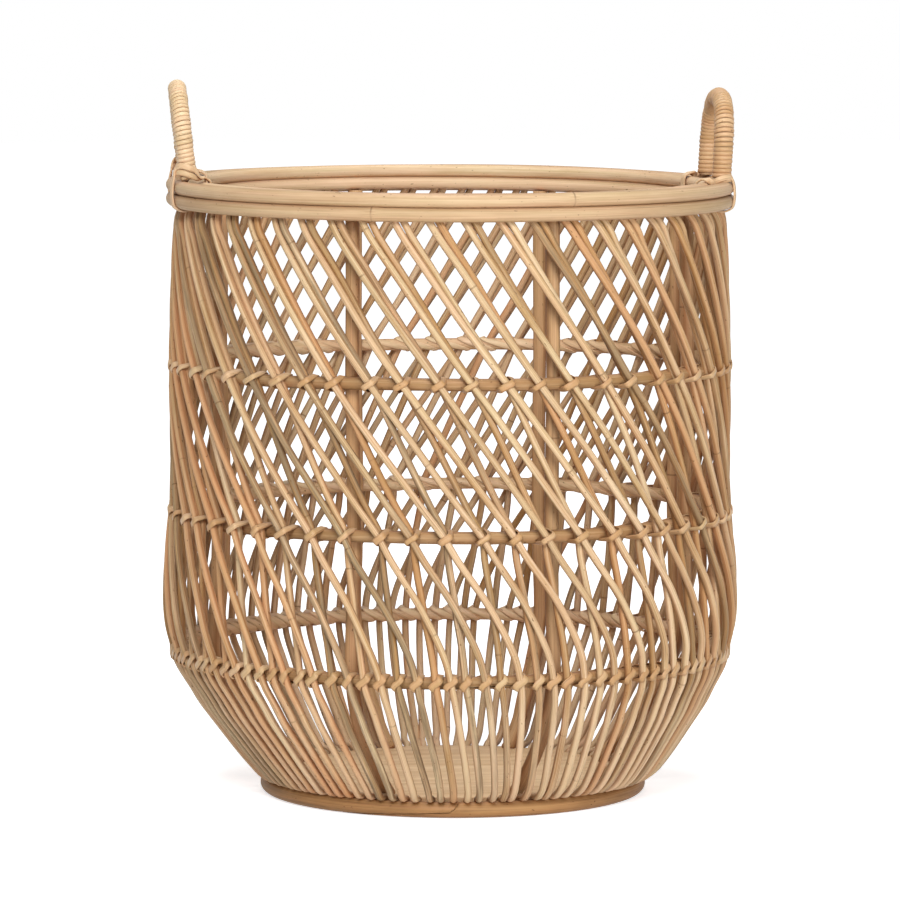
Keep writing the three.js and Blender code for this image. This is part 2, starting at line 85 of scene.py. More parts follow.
# %% Camera
CAMERA_TURN = np.radians(-93.9)
CAMERA_DISTANCE = 3756
CAMERA_HEIGHT = 594
CAMERA_PITCH = np.radians(5.408)
FOCAL_PIXELS = 5412
PICTURE = 900
SENSOR = 36

camera_data = bpy.data.cameras.new("camera")
camera_data.sensor_width = SENSOR
camera_data.lens = FOCAL_PIXELS / PICTURE * SENSOR
camera_data.clip_end = 100
camera = bpy.data.objects.new("camera", camera_data)
bpy.context.scene.collection.objects.link(camera)
camera.location = (
    CAMERA_DISTANCE * np.cos(CAMERA_TURN) * MM,
    CAMERA_DISTANCE * np.sin(CAMERA_TURN) * MM,
    CAMERA_HEIGHT * MM,
)
camera.rotation_euler = (np.pi / 2 - CAMERA_PITCH, 0, CAMERA_TURN + np.pi / 2)
bpy.context.scene.camera = camera
bpy.context.scene.view_settings.view_transform = "Standard"
print("camera at", [round(v, 3) for v in camera.location], "lens", round(camera_data.lens, 1), "mm")

# %% [markdown]
# Materials are built from nodes. Small helpers keep that short: one adds a node and sets
# its inputs, one joins two sockets, and one starts a material with an empty tree.

# %% Node helpers
def add_node(tree, kind, values=None, **settings):
    """One node of a tree, its settings and its unlinked inputs set by name or number."""
    node = tree.nodes.new(kind)
    for key, value in settings.items():
        setattr(node, key, value)
    for key, value in (values or {}).items():
        node.inputs[key].default_value = value
    return node


def join(tree, source, target):
    """A link from an output to an input."""
    tree.links.new(source, target)


def new_material(name):
    """A material and its empty node tree."""
    material = bpy.data.materials.new(name)
    material.use_nodes = True
    material.node_tree.nodes.clear()
    return material, material.node_tree


def seen_ray(tree):
    """1 for rays that look at the background: from the camera, by gloss or through glass."""
    path = add_node(tree, "ShaderNodeLightPath")
    first = add_node(tree, "ShaderNodeMath", operation="MAXIMUM")
    second = add_node(tree, "ShaderNodeMath", operation="MAXIMUM")
    join(tree, path.outputs["Is Camera Ray"], first.inputs[0])
    join(tree, path.outputs["Is Glossy Ray"], first.inputs[1])
    join(tree, first.outputs[0], second.inputs[0])
    join(tree, path.outputs["Is Transmission Ray"], second.inputs[1])
    return second.outputs[0]


# %% [markdown]
# The photograph has a pure white ground. The sky is white for rays that look at it, and
# much dimmer as a light, so that the background needs no extra light on the basket.

# %% Sky
WHITE = (1, 1, 1, 1)
SKY_LIGHT = 0.13

world = bpy.data.worlds.new("studio")
bpy.context.scene.world = world
world.use_nodes = True
sky = world.node_tree
sky.nodes.clear()
sky_dim = add_node(sky, "ShaderNodeBackground", {"Color": WHITE, "Strength": SKY_LIGHT})
sky_white = add_node(sky, "ShaderNodeBackground", {"Color": WHITE, "Strength": 1})
sky_mix = add_node(sky, "ShaderNodeMixShader")
sky_out = add_node(sky, "ShaderNodeOutputWorld")
join(sky, seen_ray(sky), sky_mix.inputs[0])
join(sky, sky_dim.outputs[0], sky_mix.inputs[1])
join(sky, sky_white.outputs[0], sky_mix.inputs[2])
join(sky, sky_mix.outputs[0], sky_out.inputs[0])
print("sky: white to look at,", SKY_LIGHT, "as a light")

# %% [markdown]
# The floor is white paper that also glows towards the camera, a little less near the
# basket than far away. That hides where it ends, and leaves only the deepest part of the
# shadow. A plain white plane would turn grey where the lamps reach it less.

# %% Floor
FLOOR_HALF = 12
FLOOR_PAPER = (0.86, 0.86, 0.86, 1)
FLOOR_GLOW = 0.72
GLOW_NEAR, GLOW_FAR = 0.4, 2.4

floor_finish, tree = new_material("floor_white")
floor_paper = add_node(tree, "ShaderNodeBsdfDiffuse", {"Color": FLOOR_PAPER})
floor_glow = add_node(tree, "ShaderNodeEmission", {"Color": WHITE})
floor_place = add_node(tree, "ShaderNodeTexCoord")
floor_far = add_node(tree, "ShaderNodeVectorMath", operation="LENGTH")
floor_fade = add_node(tree, "ShaderNodeMapRange", {1: GLOW_NEAR, 2: GLOW_FAR, 3: FLOOR_GLOW, 4: 1.0})
floor_share = add_node(tree, "ShaderNodeMath", operation="MULTIPLY")
floor_sum = add_node(tree, "ShaderNodeAddShader")
floor_out = add_node(tree, "ShaderNodeOutputMaterial")
join(tree, floor_place.outputs["Object"], floor_far.inputs[0])
join(tree, floor_far.outputs["Value"], floor_fade.inputs[0])
join(tree, seen_ray(tree), floor_share.inputs[0])
join(tree, floor_fade.outputs[0], floor_share.inputs[1])
join(tree, floor_share.outputs[0], floor_glow.inputs["Strength"])
join(tree, floor_paper.outputs[0], floor_sum.inputs[0])
join(tree, floor_glow.outputs[0], floor_sum.inputs[1])
join(tree, floor_sum.outputs[0], floor_out.inputs[0])

floor_mesh = bpy.data.meshes.new("floor")
floor_corners = [(-FLOOR_HALF, -FLOOR_HALF, 0), (FLOOR_HALF, -FLOOR_HALF, 0)]
floor_corners += [(FLOOR_HALF, FLOOR_HALF, 0), (-FLOOR_HALF, FLOOR_HALF, 0)]
floor_mesh.from_pydata(floor_corners, [], [(0, 1, 2, 3)])
floor_mesh.materials.append(floor_finish)
floor = bpy.data.objects.new("floor", floor_mesh)
bpy.context.scene.collection.objects.link(floor)
print("floor:", 2 * FLOOR_HALF, "m square")

# %% [markdown]
# Three wide lamps stand round the basket as soft boxes: one high in front and a little to
# the left, one low in front on the right, so that the sides of the canes aren't lost, and
# one overhead that lights the rim and the board.

# %% Lamps
def soft_box(name, place, target, size, power):
    """A square lamp of a size in metres at a place, turned to a target."""
    data = bpy.data.lights.new(name, "AREA")
    data.shape = "SQUARE"
    data.size = size
    data.energy = power
    lamp = bpy.data.objects.new(name, data)
    lamp.location = place
    away = np.array(place, float) - np.array(target, float)
    flat = np.hypot(away[0], away[1])
    lamp.rotation_euler = (np.arctan2(flat, away[2]), 0, np.arctan2(away[0], -away[1]))
    bpy.context.scene.collection.objects.link(lamp)
    print(name, "at", place, "of", power, "W")


MIDDLE = (0, 0, 0.25)
soft_box("main_light", (-0.5, -2.7, 2.0), MIDDLE, 1.1, 69)
soft_box("fill_light", (1.2, -2.9, 0.1), MIDDLE, 1.6, 75)
soft_box("top_light", (-0.1, 0.2, 2.6), MIDDLE, 1.4, 32)

# %% [markdown]
# ## Canes as swept tubes
# Every cane is one idea: a round section carried along a smooth path. A curve object with
# a bevel could do it too, but then the thickness could not swell at the nodes, where
# leaves once grew, and the grain could not be told where it is. The path is a curve
# through a few measured points, read off at many places at once.

# %% Smooth curves
def smooth_through(points, place, where):
    """Cubic Hermite curve through points[..., i, :] at place[i], read off at where: each
    point's slope is the gradient of its neighbours."""
    slope = np.gradient(points, place, axis=-2)
    i = np.clip(np.searchsorted(place, where) - 1, 0, len(place) - 2)
    step = (place[i + 1] - place[i])[:, None]
    t = (where - place[i])[:, None] / step
    start, end = 2 * t**3 - 3 * t**2 + 1, 3 * t**2 - 2 * t**3
    leave, arrive = (t**3 - 2 * t**2 + t) * step, (t**3 - t**2) * step
    near, far = points[..., i, :], points[..., i + 1, :]
    return start * near + end * far + leave * slope[..., i, :] + arrive * slope[..., i + 1, :]


def lengths(path):
    """Distance along a path from its first point to each of its points."""
    steps = np.linalg.norm(np.diff(path, axis=-2), axis=-1)
    return np.concatenate([np.zeros_like(steps[..., :1]), np.cumsum(steps, axis=-1)], axis=-1)


def unit(vectors):
    """Vectors of the same direction and of length 1."""
    return vectors / np.linalg.norm(vectors, axis=-1, keepdims=True)


# %% [markdown]
# At each place of a path stands a frame: the way of the path, a direction made square to
# it, and the side. The section's corners are laid out on the last two, so a whole tube is
# one sum of arrays. Letting the direction point away from the basket's middle keeps the
# tube from twisting.

# %% Sweeps
def around(radius, angle, height):
    """Points at a radius, an angle round the basket's axis and a height."""
    return np.stack(np.broadcast_arrays(radius * np.cos(angle), radius * np.sin(angle), height), -1)


def sweep(path, section, facing):
    """Corners [..., place, corner, xyz] of a section carried along a path: the section's
    first number lies along facing made square to the path, its second along the side."""
    way = unit(np.gradient(path, axis=-2))
    out = unit(facing - np.sum(facing * way, -1, keepdims=True) * way)
    side = np.cross(way, out)
    return (
        path[..., None, :]
        + section[..., 0:1] * out[..., None, :]
        + section[..., 1:2] * side[..., None, :]
    )


def circle(corners):
    """Corners of a circle of radius 1."""
    turn = TAU * np.arange(corners) / corners
    return np.stack([np.cos(turn), np.sin(turn)], -1)


# %% [markdown]
# A tube's faces are quads between each ring of corners and the next. Their numbers come
# from three counters: the tube, the place along it and the corner round it. One large face
# caps each end.

# %% Tube faces
def tube_faces(tubes, places, corners):
    """Quads of tubes of rings of corners, and their two end caps."""
    ring = np.arange(places - 1)[None, :, None]
    corner = np.arange(corners)[None, None, :]
    base = np.arange(tubes)[:, None, None] * places * corners
    here, ahead = base + ring * corners, base + (ring + 1) * corners
    beside = (corner + 1) % corners
    loop = np.broadcast_arrays(here + corner, here + beside, ahead + beside, ahead + corner)
    quads = np.stack(loop, -1).reshape(-1, 4).tolist()
    first = (base[:, 0] + np.arange(corners)[::-1]).tolist()
    last = (base[:, 0] + (places - 1) * corners + np.arange(corners)).tolist()
    return quads + first + last


# %% [markdown]
# The grids of all tubes of a piece become one mesh. Each corner also stores two vectors:
# *grain*, its place in the unrolled cane, with the length along it in z, and *tint*, the
# cane's own shade. The materials read them, so the fibres follow each cane as it bends.

# %% Grids to pieces
def make_piece(name, grid, grain, tint, material, nodes):
    """A mesh of swept tubes from grid [tube, place, corner, xyz] in millimetres, with grain
    in millimetres and tint stored on its corners. It rides on the one body."""
    mesh = bpy.data.meshes.new(name)
    mesh.from_pydata((grid.reshape(-1, 3) * MM).tolist(), [], tube_faces(*grid.shape[:3]))
    mesh.polygons.foreach_set("use_smooth", np.ones(len(mesh.polygons), bool))
    for key, values in (("grain", grain * MM), ("tint", tint)):
        stored = mesh.attributes.new(key, "FLOAT_VECTOR", "POINT")
        stored.data.foreach_set("vector", np.broadcast_to(values, grid.shape).astype("f4").ravel())
    mesh.materials.append(material)
    piece = bpy.data.objects.new(name, mesh)
    bpy.context.scene.collection.objects.link(piece)
    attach(piece, "root")
    if nodes:
        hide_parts(*nodes)


def unrolled(path, section, offset):
    """Grain of swept corners: the section itself, and the length along the path."""
    along = lengths(path) + offset
    flat = np.broadcast_to(section, (*path.shape[:-1], *section.shape[-2:]))
    return np.concatenate([flat, np.broadcast_to(along[..., None, None], (*flat.shape[:-1], 1))], -1)


def node_swelling(along, spacing, height, width):
    """How much a cane swells at its nodes: a bell curve every spacing along it."""
    away = (along / spacing + 0.5) % 1 - 0.5
    return height * np.exp(-((away * spacing / width) ** 2))


# %% [markdown]
# ## Cane finish
# Rattan is pale straw with long fine fibres. Each cane has its own shade, some greenish
# or grey where bark was left, some orange. Up close it has streaks along the cane, darker
# blotches, a few specks, and a thin dark line at each node. One node group makes them all
# from the stored grain, and each material feeds it its own colours.

# %% Noise, ranges and mixes
def noise_at(tree, vector, scale, detail, roughness=0.55):
    """Noise on a vector stretched by three scales, in features per metre."""
    stretch = add_node(tree, "ShaderNodeVectorMath", {1: scale}, operation="MULTIPLY")
    noise = add_node(tree, "ShaderNodeTexNoise", {"Scale": 1, "Detail": detail, "Roughness": roughness})
    join(tree, vector, stretch.inputs[0])
    join(tree, stretch.outputs[0], noise.inputs["Vector"])
    return noise.outputs["Fac"]


def mapped(tree, value, low, high, to_low=0.0, to_high=1.0):
    """A value moved from one range to another and clamped there."""
    node = add_node(tree, "ShaderNodeMapRange", {1: low, 2: high, 3: to_low, 4: to_high})
    join(tree, value, node.inputs[0])
    return node.outputs[0]


def maths(tree, operation, *values):
    """A Math node on sockets or numbers."""
    node = add_node(tree, "ShaderNodeMath", operation=operation)
    for i, value in enumerate(values):
        if isinstance(value, (int, float)):
            node.inputs[i].default_value = value
        else:
            join(tree, value, node.inputs[i])
    return node.outputs[0]


def mixed(tree, share, first, second, blend="MIX"):
    """A colour mix; share, first and second are sockets or plain values."""
    node = add_node(tree, "ShaderNodeMix", data_type="RGBA", blend_type=blend)
    for i, value in ((0, share), (6, first), (7, second)):
        if isinstance(value, (int, float, tuple)):
            node.inputs[i].default_value = value
        else:
            join(tree, value, node.inputs[i])
    return node.outputs[2]


# %% [markdown]
# The group takes the two stored vectors, four colours and three numbers, and puts out a
# colour, a roughness and a height for the bump. The shader itself stays outside it.

# %% Sockets of the cane group
CANE_INPUTS = {
    "NodeSocketVector": ("Grain", "Tint"),
    "NodeSocketColor": ("Pale", "Deep", "Warm", "Bark"),
    "NodeSocketFloat": ("Streaks", "Blotches", "Node spacing"),
}
CANE_OUTPUTS = {"Color": "NodeSocketColor", "Roughness": "NodeSocketFloat", "Height": "NodeSocketFloat"}

cane_group = bpy.data.node_groups.new("cane_skin", "ShaderNodeTree")
for kind, names in CANE_INPUTS.items():
    for name in names:
        cane_group.interface.new_socket(name, in_out="INPUT", socket_type=kind)
for name, kind in CANE_OUTPUTS.items():
    cane_group.interface.new_socket(name, in_out="OUTPUT", socket_type=kind)
given = add_node(cane_group, "NodeGroupInput").outputs
result = add_node(cane_group, "NodeGroupOutput").inputs
print("cane group:", len(given) - 1, "inputs,", len(result) - 1, "outputs")

# %% [markdown]
# Lightness comes first. A cane lies between its deep and its pale colour by its own shade,
# by fibres that run a long way along it, and by patches. All three are noise on the grain,
# stretched so that features are fine across the cane and long along it.

# %% Lightness of a cane
# Features per metre, out from the middle, round the cane and along it
FIBRES, FINE_FIBRES, PATCHES = (1300, 1300, 8), (4000, 4000, 45), (110, 110, 17)
SHADE_STEP = 0.36


def cane_lightness(shade, fibre, patch):
    """Deep to Pale by 1/2 + step * shade + streaks * (fibre - 1/2) + blotches * (patch - 1/2)."""
    own = maths(cane_group, "MULTIPLY_ADD", shade, SHADE_STEP, 0.5)
    streak = maths(cane_group, "MULTIPLY", maths(cane_group, "SUBTRACT", fibre, 0.5), given["Streaks"])
    blotch = maths(cane_group, "MULTIPLY", maths(cane_group, "SUBTRACT", patch, 0.5), given["Blotches"])
    light = maths(cane_group, "ADD", maths(cane_group, "ADD", own, streak), blotch)
    return mixed(cane_group, mapped(cane_group, light, 0.0, 1.0), given["Deep"], given["Pale"])


# %% [markdown]
# Hue comes next. Every cane has faint pinkish and greenish stretches, and the tint says
# how much of the warm colour and how much bark it shows. Both come in patches, as on a
# cane that was scraped unevenly.

# %% Hue of a cane
HUES, BARK_PATCHES = (170, 170, 9), (420, 420, 20)
PINKISH, GREENISH = (1.03, 0.97, 0.94, 1), (0.98, 0.995, 0.91, 1)


def cane_hue(base, grain, patch, warmth, bark):
    """The base colour times a faint hue, then mixed to Warm and to Bark where it is patchy."""
    hue = noise_at(cane_group, grain, HUES, 2)
    tone = mixed(cane_group, mapped(cane_group, hue, 0.36, 0.64), PINKISH, GREENISH)
    base = mixed(cane_group, 1.0, base, tone, "MULTIPLY")
    warm_patch = mapped(cane_group, patch, 0.35, 0.6, 0.2)
    bark_patch = mapped(cane_group, noise_at(cane_group, grain, BARK_PATCHES, 4), 0.38, 0.6, 0.1)
    base = mixed(cane_group, maths(cane_group, "MULTIPLY", warmth, warm_patch), base, given["Warm"])
    return mixed(cane_group, maths(cane_group, "MULTIPLY", bark, bark_patch), base, given["Bark"])


# %% [markdown]
# Last come the small dark marks: specks, fine splits along the fibres, and the scar of a
# leaf at each node, a line under a millimetre wide that is broken here and there.

# %% Marks of a cane
SPECKS, SPLITS = (620, 620, 260), (900, 900, 14)
MARK_TONE = (0.4, 0.34, 0.28, 1)
SCAR = 0.0009


def cane_marks(base, grain, patch, along):
    """The colour with its marks, and the scar: 1 at each node, 0 from SCAR metres away."""
    dark = mixed(cane_group, 1.0, given["Deep"], MARK_TONE, "MULTIPLY")
    speck = noise_at(cane_group, grain, SPECKS, 1)
    base = mixed(cane_group, mapped(cane_group, speck, 0.72, 0.78, 0.0, 0.8), base, dark)
    split = noise_at(cane_group, grain, SPLITS, 1)
    base = mixed(cane_group, mapped(cane_group, split, 0.7, 0.76, 0.0, 0.55), base, dark)
    turn = maths(cane_group, "FRACT", maths(cane_group, "DIVIDE", along, given["Node spacing"]))
    away = maths(cane_group, "ABSOLUTE", maths(cane_group, "SUBTRACT", turn, 0.5))
    distance = maths(cane_group, "MULTIPLY", maths(cane_group, "SUBTRACT", 0.5, away), given["Node spacing"])
    scar = mapped(cane_group, distance, 0.0, SCAR, 1.0, 0.0)
    broken = maths(cane_group, "MULTIPLY", scar, mapped(cane_group, patch, 0.42, 0.58, 0.25, 0.8))
    return mixed(cane_group, broken, base, dark), scar


# %% [markdown]
# The three steps are joined in the group. The finest fibres also make the gloss uneven,
# and fibres and scars together give the height that the bump reads.

# %% The cane group
def fill_cane_group():
    """The group from its sockets: colour, roughness, and height = fibre + fine fibre - scar."""
    grain = given["Grain"]
    tints, places = (add_node(cane_group, "ShaderNodeSeparateXYZ") for _ in range(2))
    join(cane_group, given["Tint"], tints.inputs[0])
    join(cane_group, grain, places.inputs[0])
    shade, warmth, bark = tints.outputs
    fibre = noise_at(cane_group, grain, FIBRES, 4, 0.6)
    fine = noise_at(cane_group, grain, FINE_FIBRES, 2)
    patch = noise_at(cane_group, grain, PATCHES, 3)
    base = cane_lightness(shade, fibre, patch)
    base = cane_hue(base, grain, patch, warmth, bark)
    base, scar = cane_marks(base, grain, patch, places.outputs[2])
    relief = maths(cane_group, "MULTIPLY_ADD", fine, 0.4, fibre)
    join(cane_group, base, result["Color"])
    join(cane_group, mapped(cane_group, fine, 0.3, 0.7, 0.5, 0.72), result["Roughness"])
    join(cane_group, maths(cane_group, "MULTIPLY_ADD", scar, -0.8, relief), result["Height"])


fill_cane_group()
print("nodes in the cane group:", len(cane_group.nodes))

# %% [markdown]
# A cane's flanks are painted darker and redder than the face it turns outwards or inwards:
# painted shade, where canes lie close together and shade each other. The flanks are found
# from the grain, so they stay where they are from every side. The colour that light meets
# after a bounce is painted darker and redder too, a painted shade between the canes.

# %% Cane finishes
ORANGE, BARK = (0.57, 0.29, 0.13), (0.23, 0.156, 0.083)
FLANK_SHADE_TONE, BOUNCE_SHADE_TONE = (0.4, 0.2, 0.06, 1), (0.87, 0.54, 0.21, 1)
FLANK_FROM, FLANK_FULL = 0.25, 0.9
COAT_ROUGHNESS, SPECULAR = 0.35, 0.25
RELIEF_DEPTH = 0.0004


def flank_shade_share(tree, grain):
    """0 on a cane's outward and inward faces and 1 on its flanks: 1 - |x|, where x is the
    first number of the grain's direction round the cane."""
    across = add_node(tree, "ShaderNodeVectorMath", {1: (1, 1, 0)}, operation="MULTIPLY")
    way = add_node(tree, "ShaderNodeVectorMath", operation="NORMALIZE")
    parts = add_node(tree, "ShaderNodeSeparateXYZ")
    join(tree, grain, across.inputs[0])
    join(tree, across.outputs[0], way.inputs[0])
    join(tree, way.outputs[0], parts.inputs[0])
    return maths(tree, "SUBTRACT", 1.0, maths(tree, "ABSOLUTE", parts.outputs[0]))


def cane_finish(name, pale, deep, streaks=1.3, blotches=1.2, gloss=0.06, spacing=0.33, bump=0.3, flank_shade=0.5):
    """A cane material: the shared group with this finish's colours, in linear light. Its
    flanks get a painted shade of the given strength, and the colour that bounced light meets
    is painted darker and redder, a painted shade between canes."""
    material, tree = new_material(name)
    skin = add_node(tree, "ShaderNodeGroup", node_tree=cane_group)
    grain = add_node(tree, "ShaderNodeAttribute", attribute_name="grain").outputs["Vector"]
    tint = add_node(tree, "ShaderNodeAttribute", attribute_name="tint").outputs["Vector"]
    bounced = add_node(tree, "ShaderNodeLightPath").outputs["Is Diffuse Ray"]
    join(tree, grain, skin.inputs["Grain"])
    join(tree, tint, skin.inputs["Tint"])
    for key, value in (("Pale", pale), ("Deep", deep), ("Warm", ORANGE), ("Bark", BARK)):
        skin.inputs[key].default_value = (*value, 1)
    for key, value in (("Streaks", streaks), ("Blotches", blotches), ("Node spacing", spacing)):
        skin.inputs[key].default_value = value
    shine = {"Coat Weight": gloss, "Coat Roughness": COAT_ROUGHNESS, "Specular IOR Level": SPECULAR}
    shader = add_node(tree, "ShaderNodeBsdfPrincipled", shine)
    relief = add_node(tree, "ShaderNodeBump", {"Strength": bump, "Distance": RELIEF_DEPTH})
    out = add_node(tree, "ShaderNodeOutputMaterial")
    # painted shade: the flanks, where neighbouring canes shade each other, are darkened and reddened
    share = mapped(tree, flank_shade_share(tree, grain), FLANK_FROM, FLANK_FULL, 0.0, flank_shade)
    colour = mixed(tree, share, skin.outputs["Color"], FLANK_SHADE_TONE, "MULTIPLY")
    # painted shade: light that has bounced meets a darker, redder colour, which deepens the shade between
    # canes
    colour = mixed(tree, bounced, colour, BOUNCE_SHADE_TONE, "MULTIPLY")
    join(tree, colour, shader.inputs["Base Color"])
    join(tree, skin.outputs["Roughness"], shader.inputs["Roughness"])
    join(tree, skin.outputs["Height"], relief.inputs["Height"])
    join(tree, relief.outputs[0], shader.inputs["Normal"])
    join(tree, shader.outputs[0], out.inputs[0])
    return material


# %% [markdown]
# Each finish is the same group with its own colours. The inner rim's skin is the palest:
# partly its own colour, partly painted light on the far side of the inner rim, which the
# front lamps reach over the near rim. The foot is the oldest, brownest wood, and the
# strips are the glossy outer peel, which has no nodes.

# %% Colours of the finishes
RING_SPACING = 1300
RING_NODES = RING_SPACING * MM
NO_NODES = 9.0

stake_finish = cane_finish("cane_stakes", (0.71, 0.545, 0.36), (0.39, 0.215, 0.08), streaks=2.4)
rim_finish = cane_finish("cane_rim", (0.68, 0.51, 0.34), (0.42, 0.265, 0.135), streaks=1.6, blotches=1.0,
                         spacing=RING_NODES, flank_shade=0.4)
# partly painted light: the inner rim is paler and yellower than the outer rim
inner_rim_finish = cane_finish("cane_rim_inner", (0.84, 0.65, 0.45), (0.58, 0.39, 0.21), streaks=1.6,
                               spacing=RING_NODES, flank_shade=0.35)
hoop_finish = cane_finish("cane_hoops", (0.82, 0.6, 0.38), (0.34, 0.195, 0.085), spacing=RING_NODES)
foot_finish = cane_finish("cane_foot", (0.44, 0.25, 0.105), (0.21, 0.105, 0.038), streaks=2.0, blotches=1.4,
                          spacing=RING_NODES)
upright_finish = cane_finish("cane_uprights", (0.6, 0.39, 0.215), (0.36, 0.205, 0.092), streaks=2.0)
strip_finish = cane_finish("cane_strips", (0.78, 0.59, 0.385), (0.46, 0.28, 0.13), streaks=0.8, blotches=0.8,
                           gloss=0.35, spacing=NO_NODES, bump=0.15, flank_shade=0.1)
print("cane finishes:", sum(m.name.startswith("cane") for m in bpy.data.materials))

# %% [markdown]
# ## Stakes
# Fifty-four pairs of thin canes start between the rims. Each pair slants round to the
# upper hoop and is tied there. Below it the two part: the outer cane crosses over a cane
# of the next pair at the middle hoop, and over one more above the lowest hoop. Then all
# turn in to the base. The table holds heights, radii to the middle of the cane and how
# far each cane has moved round, in pitches.

# %% Stake tables
PAIRS = 54
PITCH = TAU / PAIRS
STAKE = 5.0

# Height, radius and drift of a pair from the rim down to the upper hoop
TOP_ROWS = [
    (421.0, 184.8, -0.3), (RIM_HEIGHT, 184.9, -0.18), (408.4, 185.7, -0.08), (404.8, 187.7, 0.03),
    (399.5, 189.2, 0.17), (391.0, 190.0, 0.4), (378.0, 190.7, 0.78), (357.0, 191.5, 1.39),
    (328.0, 192.5, 2.24), (UPPER, 193.0, 3.09),
]
# From there the two canes of the pair to the lowest hoop
OUTER_ROWS = [
    (284.0, 193.0, 3.56), (262.0, 192.9, 4.25), (238.0, 192.7, 5.0), (216.0, 192.9, 5.69),
    (MIDDLE_HOOP, 193.8, 6.29), (183.5, 195.1, 6.63), (170.0, 196.4, 7.02), (156.5, 197.5, 7.4),
    (143.0, 197.9, 7.72), (129.6, 197.9, 8.0), (116.1, 196.5, 8.24), (106.0, 194.0, 8.36),
    (98.0, 192.4, 8.43),
]
INNER_ROWS = [
    (284.0, 188.9, 3.42), (262.0, 189.4, 3.9), (238.0, 189.4, 4.41), (216.0, 189.1, 4.88),
    (MIDDLE_HOOP, 188.9, 5.29), (183.5, 189.8, 5.36), (170.0, 191.2, 5.46), (156.5, 192.3, 5.57),
    (143.0, 192.8, 5.66), (129.6, 192.9, 5.77), (116.1, 192.9, 5.85), (106.0, 192.8, 5.9),
    (98.0, 192.4, 5.93),
]
# And from the lowest hoop to the base, with the drift since there
FOOT_ROWS = [
    (91.0, 190.2, 0.04), (84.0, 186.4, 0.08), (76.0, 181.7, 0.12), (67.0, 176.9, 0.16), (58.6, 171.3, 0.2),
    (50.0, 165.2, 0.24), (41.6, 159.3, 0.28), (33.0, 153.1, 0.32), (25.6, 147.4, 0.35), (19.6, 142.4, 0.37),
    (15.6, 138.4, 0.39), (13.6, 134.9, 0.4), (13.5, 130.4, 0.41), (12.3, 126.0, 0.42), (4.5, 122.0, 0.42),
]
print("rows down an outer stake:", len(TOP_ROWS + OUTER_ROWS + FOOT_ROWS))

# %% [markdown]
# No two ties sit quite where they should. Each tie has a small shift of its own, and each
# cane a slight bow. The two canes of a pair are bound side by side above the upper hoop,
# so they share one shift and one bow there. All of it is drawn from one seeded generator,
# so that the basket comes out the same each time.

# %% Uneven ties and bows
TIE_HEIGHTS = np.array([410.0, UPPER, MIDDLE_HOOP, LOWER, 15.0])
TIE_SPREAD = [0.6, 1.3, 1.4, 0.9, 0.9]
SINGLE = np.array([0, 0, 0, 1, 1])
BOW, BOW_LENGTH = 0.25, 300

random = np.random.default_rng(11)
pair_shift = random.normal(0, 1, (PAIRS, 1, 5)) * TIE_SPREAD
cane_shift = random.normal(0, 1, (PAIRS, 2, 5)) * TIE_SPREAD * SINGLE
tie_shift = np.where(SINGLE, cane_shift, pair_shift)
tie_shift[:, 1, 2] = np.roll(tie_shift[:, 0, 2], 1)
bow_size = random.normal(0, BOW, (PAIRS, 3, 3))
bow_phase = random.uniform(0, TAU, (PAIRS, 3, 3))


def bow(owner, where):
    """A few sine waves along a cane: sum of size * sin(wave * distance / length + phase)."""
    wave = np.arange(1, 4)[None, :, None] * where * TAU / BOW_LENGTH
    return np.sum(bow_size[:, owner, :, None] * np.sin(wave + bow_phase[:, owner, :, None]), axis=1)


print("largest shift of a tie:", round(float(np.abs(tie_shift).max()), 1), "mm")

# %% [markdown]
# The pairs aren't evenly spaced either. In front they stand wider apart, and under the
# rim those on the right have slipped further round. The two canes of a pair lie side by
# side at the rim, and the inner one slips behind the outer one on the way to the hoop.

# %% Places of the pairs
WALL = 190.0
WIDER, FURTHER = 8.5, 8.0
SLIPPED_TURN, SLIPPED_SPREAD, SLIPPED_RISE = 1.3, 0.6, 110
BESIDE, BEHIND, BESIDE_RISE = 1.04, 0.85, 104


def side_by_side(heights, owner):
    """Sideways shift and depth of one cane of a pair: beside grows with the height above
    the upper hoop, and behind follows from it, so that the two canes keep touching."""
    beside = STAKE / 2 * BESIDE * np.clip((heights - UPPER) / BESIDE_RISE, 0, 1)
    behind = BEHIND * np.sqrt(np.clip(STAKE**2 - 4 * beside**2, 0, None)) * (heights > UPPER - 1)
    return (-beside, 0 * behind) if owner == 0 else (beside, behind)


def uneven(angle, heights):
    """Angles moved round by a few millimetres: by wider * sin(turn from the front), and
    under the rim by further * a bell curve of the turn on the right."""
    turn = np.angle(np.exp(1j * (angle - CAMERA_TURN)))
    bell = np.exp(-(((turn - SLIPPED_TURN) / SLIPPED_SPREAD) ** 2))
    further = FURTHER * bell * np.clip((heights - UPPER) / SLIPPED_RISE, 0, 1)
    return angle + (WIDER * np.sin(turn) + further) / WALL


# %% [markdown]
# The middle line of a stake is laid out on the unrolled wall: distance round, radius and
# height. There it is smoothed and bowed, and then it is rolled up again. Below the lowest
# hoop the whole foot sits a little off the middle, as it does in the photograph.

# %% Stake lines
STAKE_PLACES = 124
SLANT = 0.55
PARTED = 262.0
FOOT_OFF = np.array([4.2, -0.3, 0])
FOOT_OFF_HEIGHTS, FOOT_OFF_SHARES = [0, 20, LOWER, 500], [0.45, 1, 0, 0]


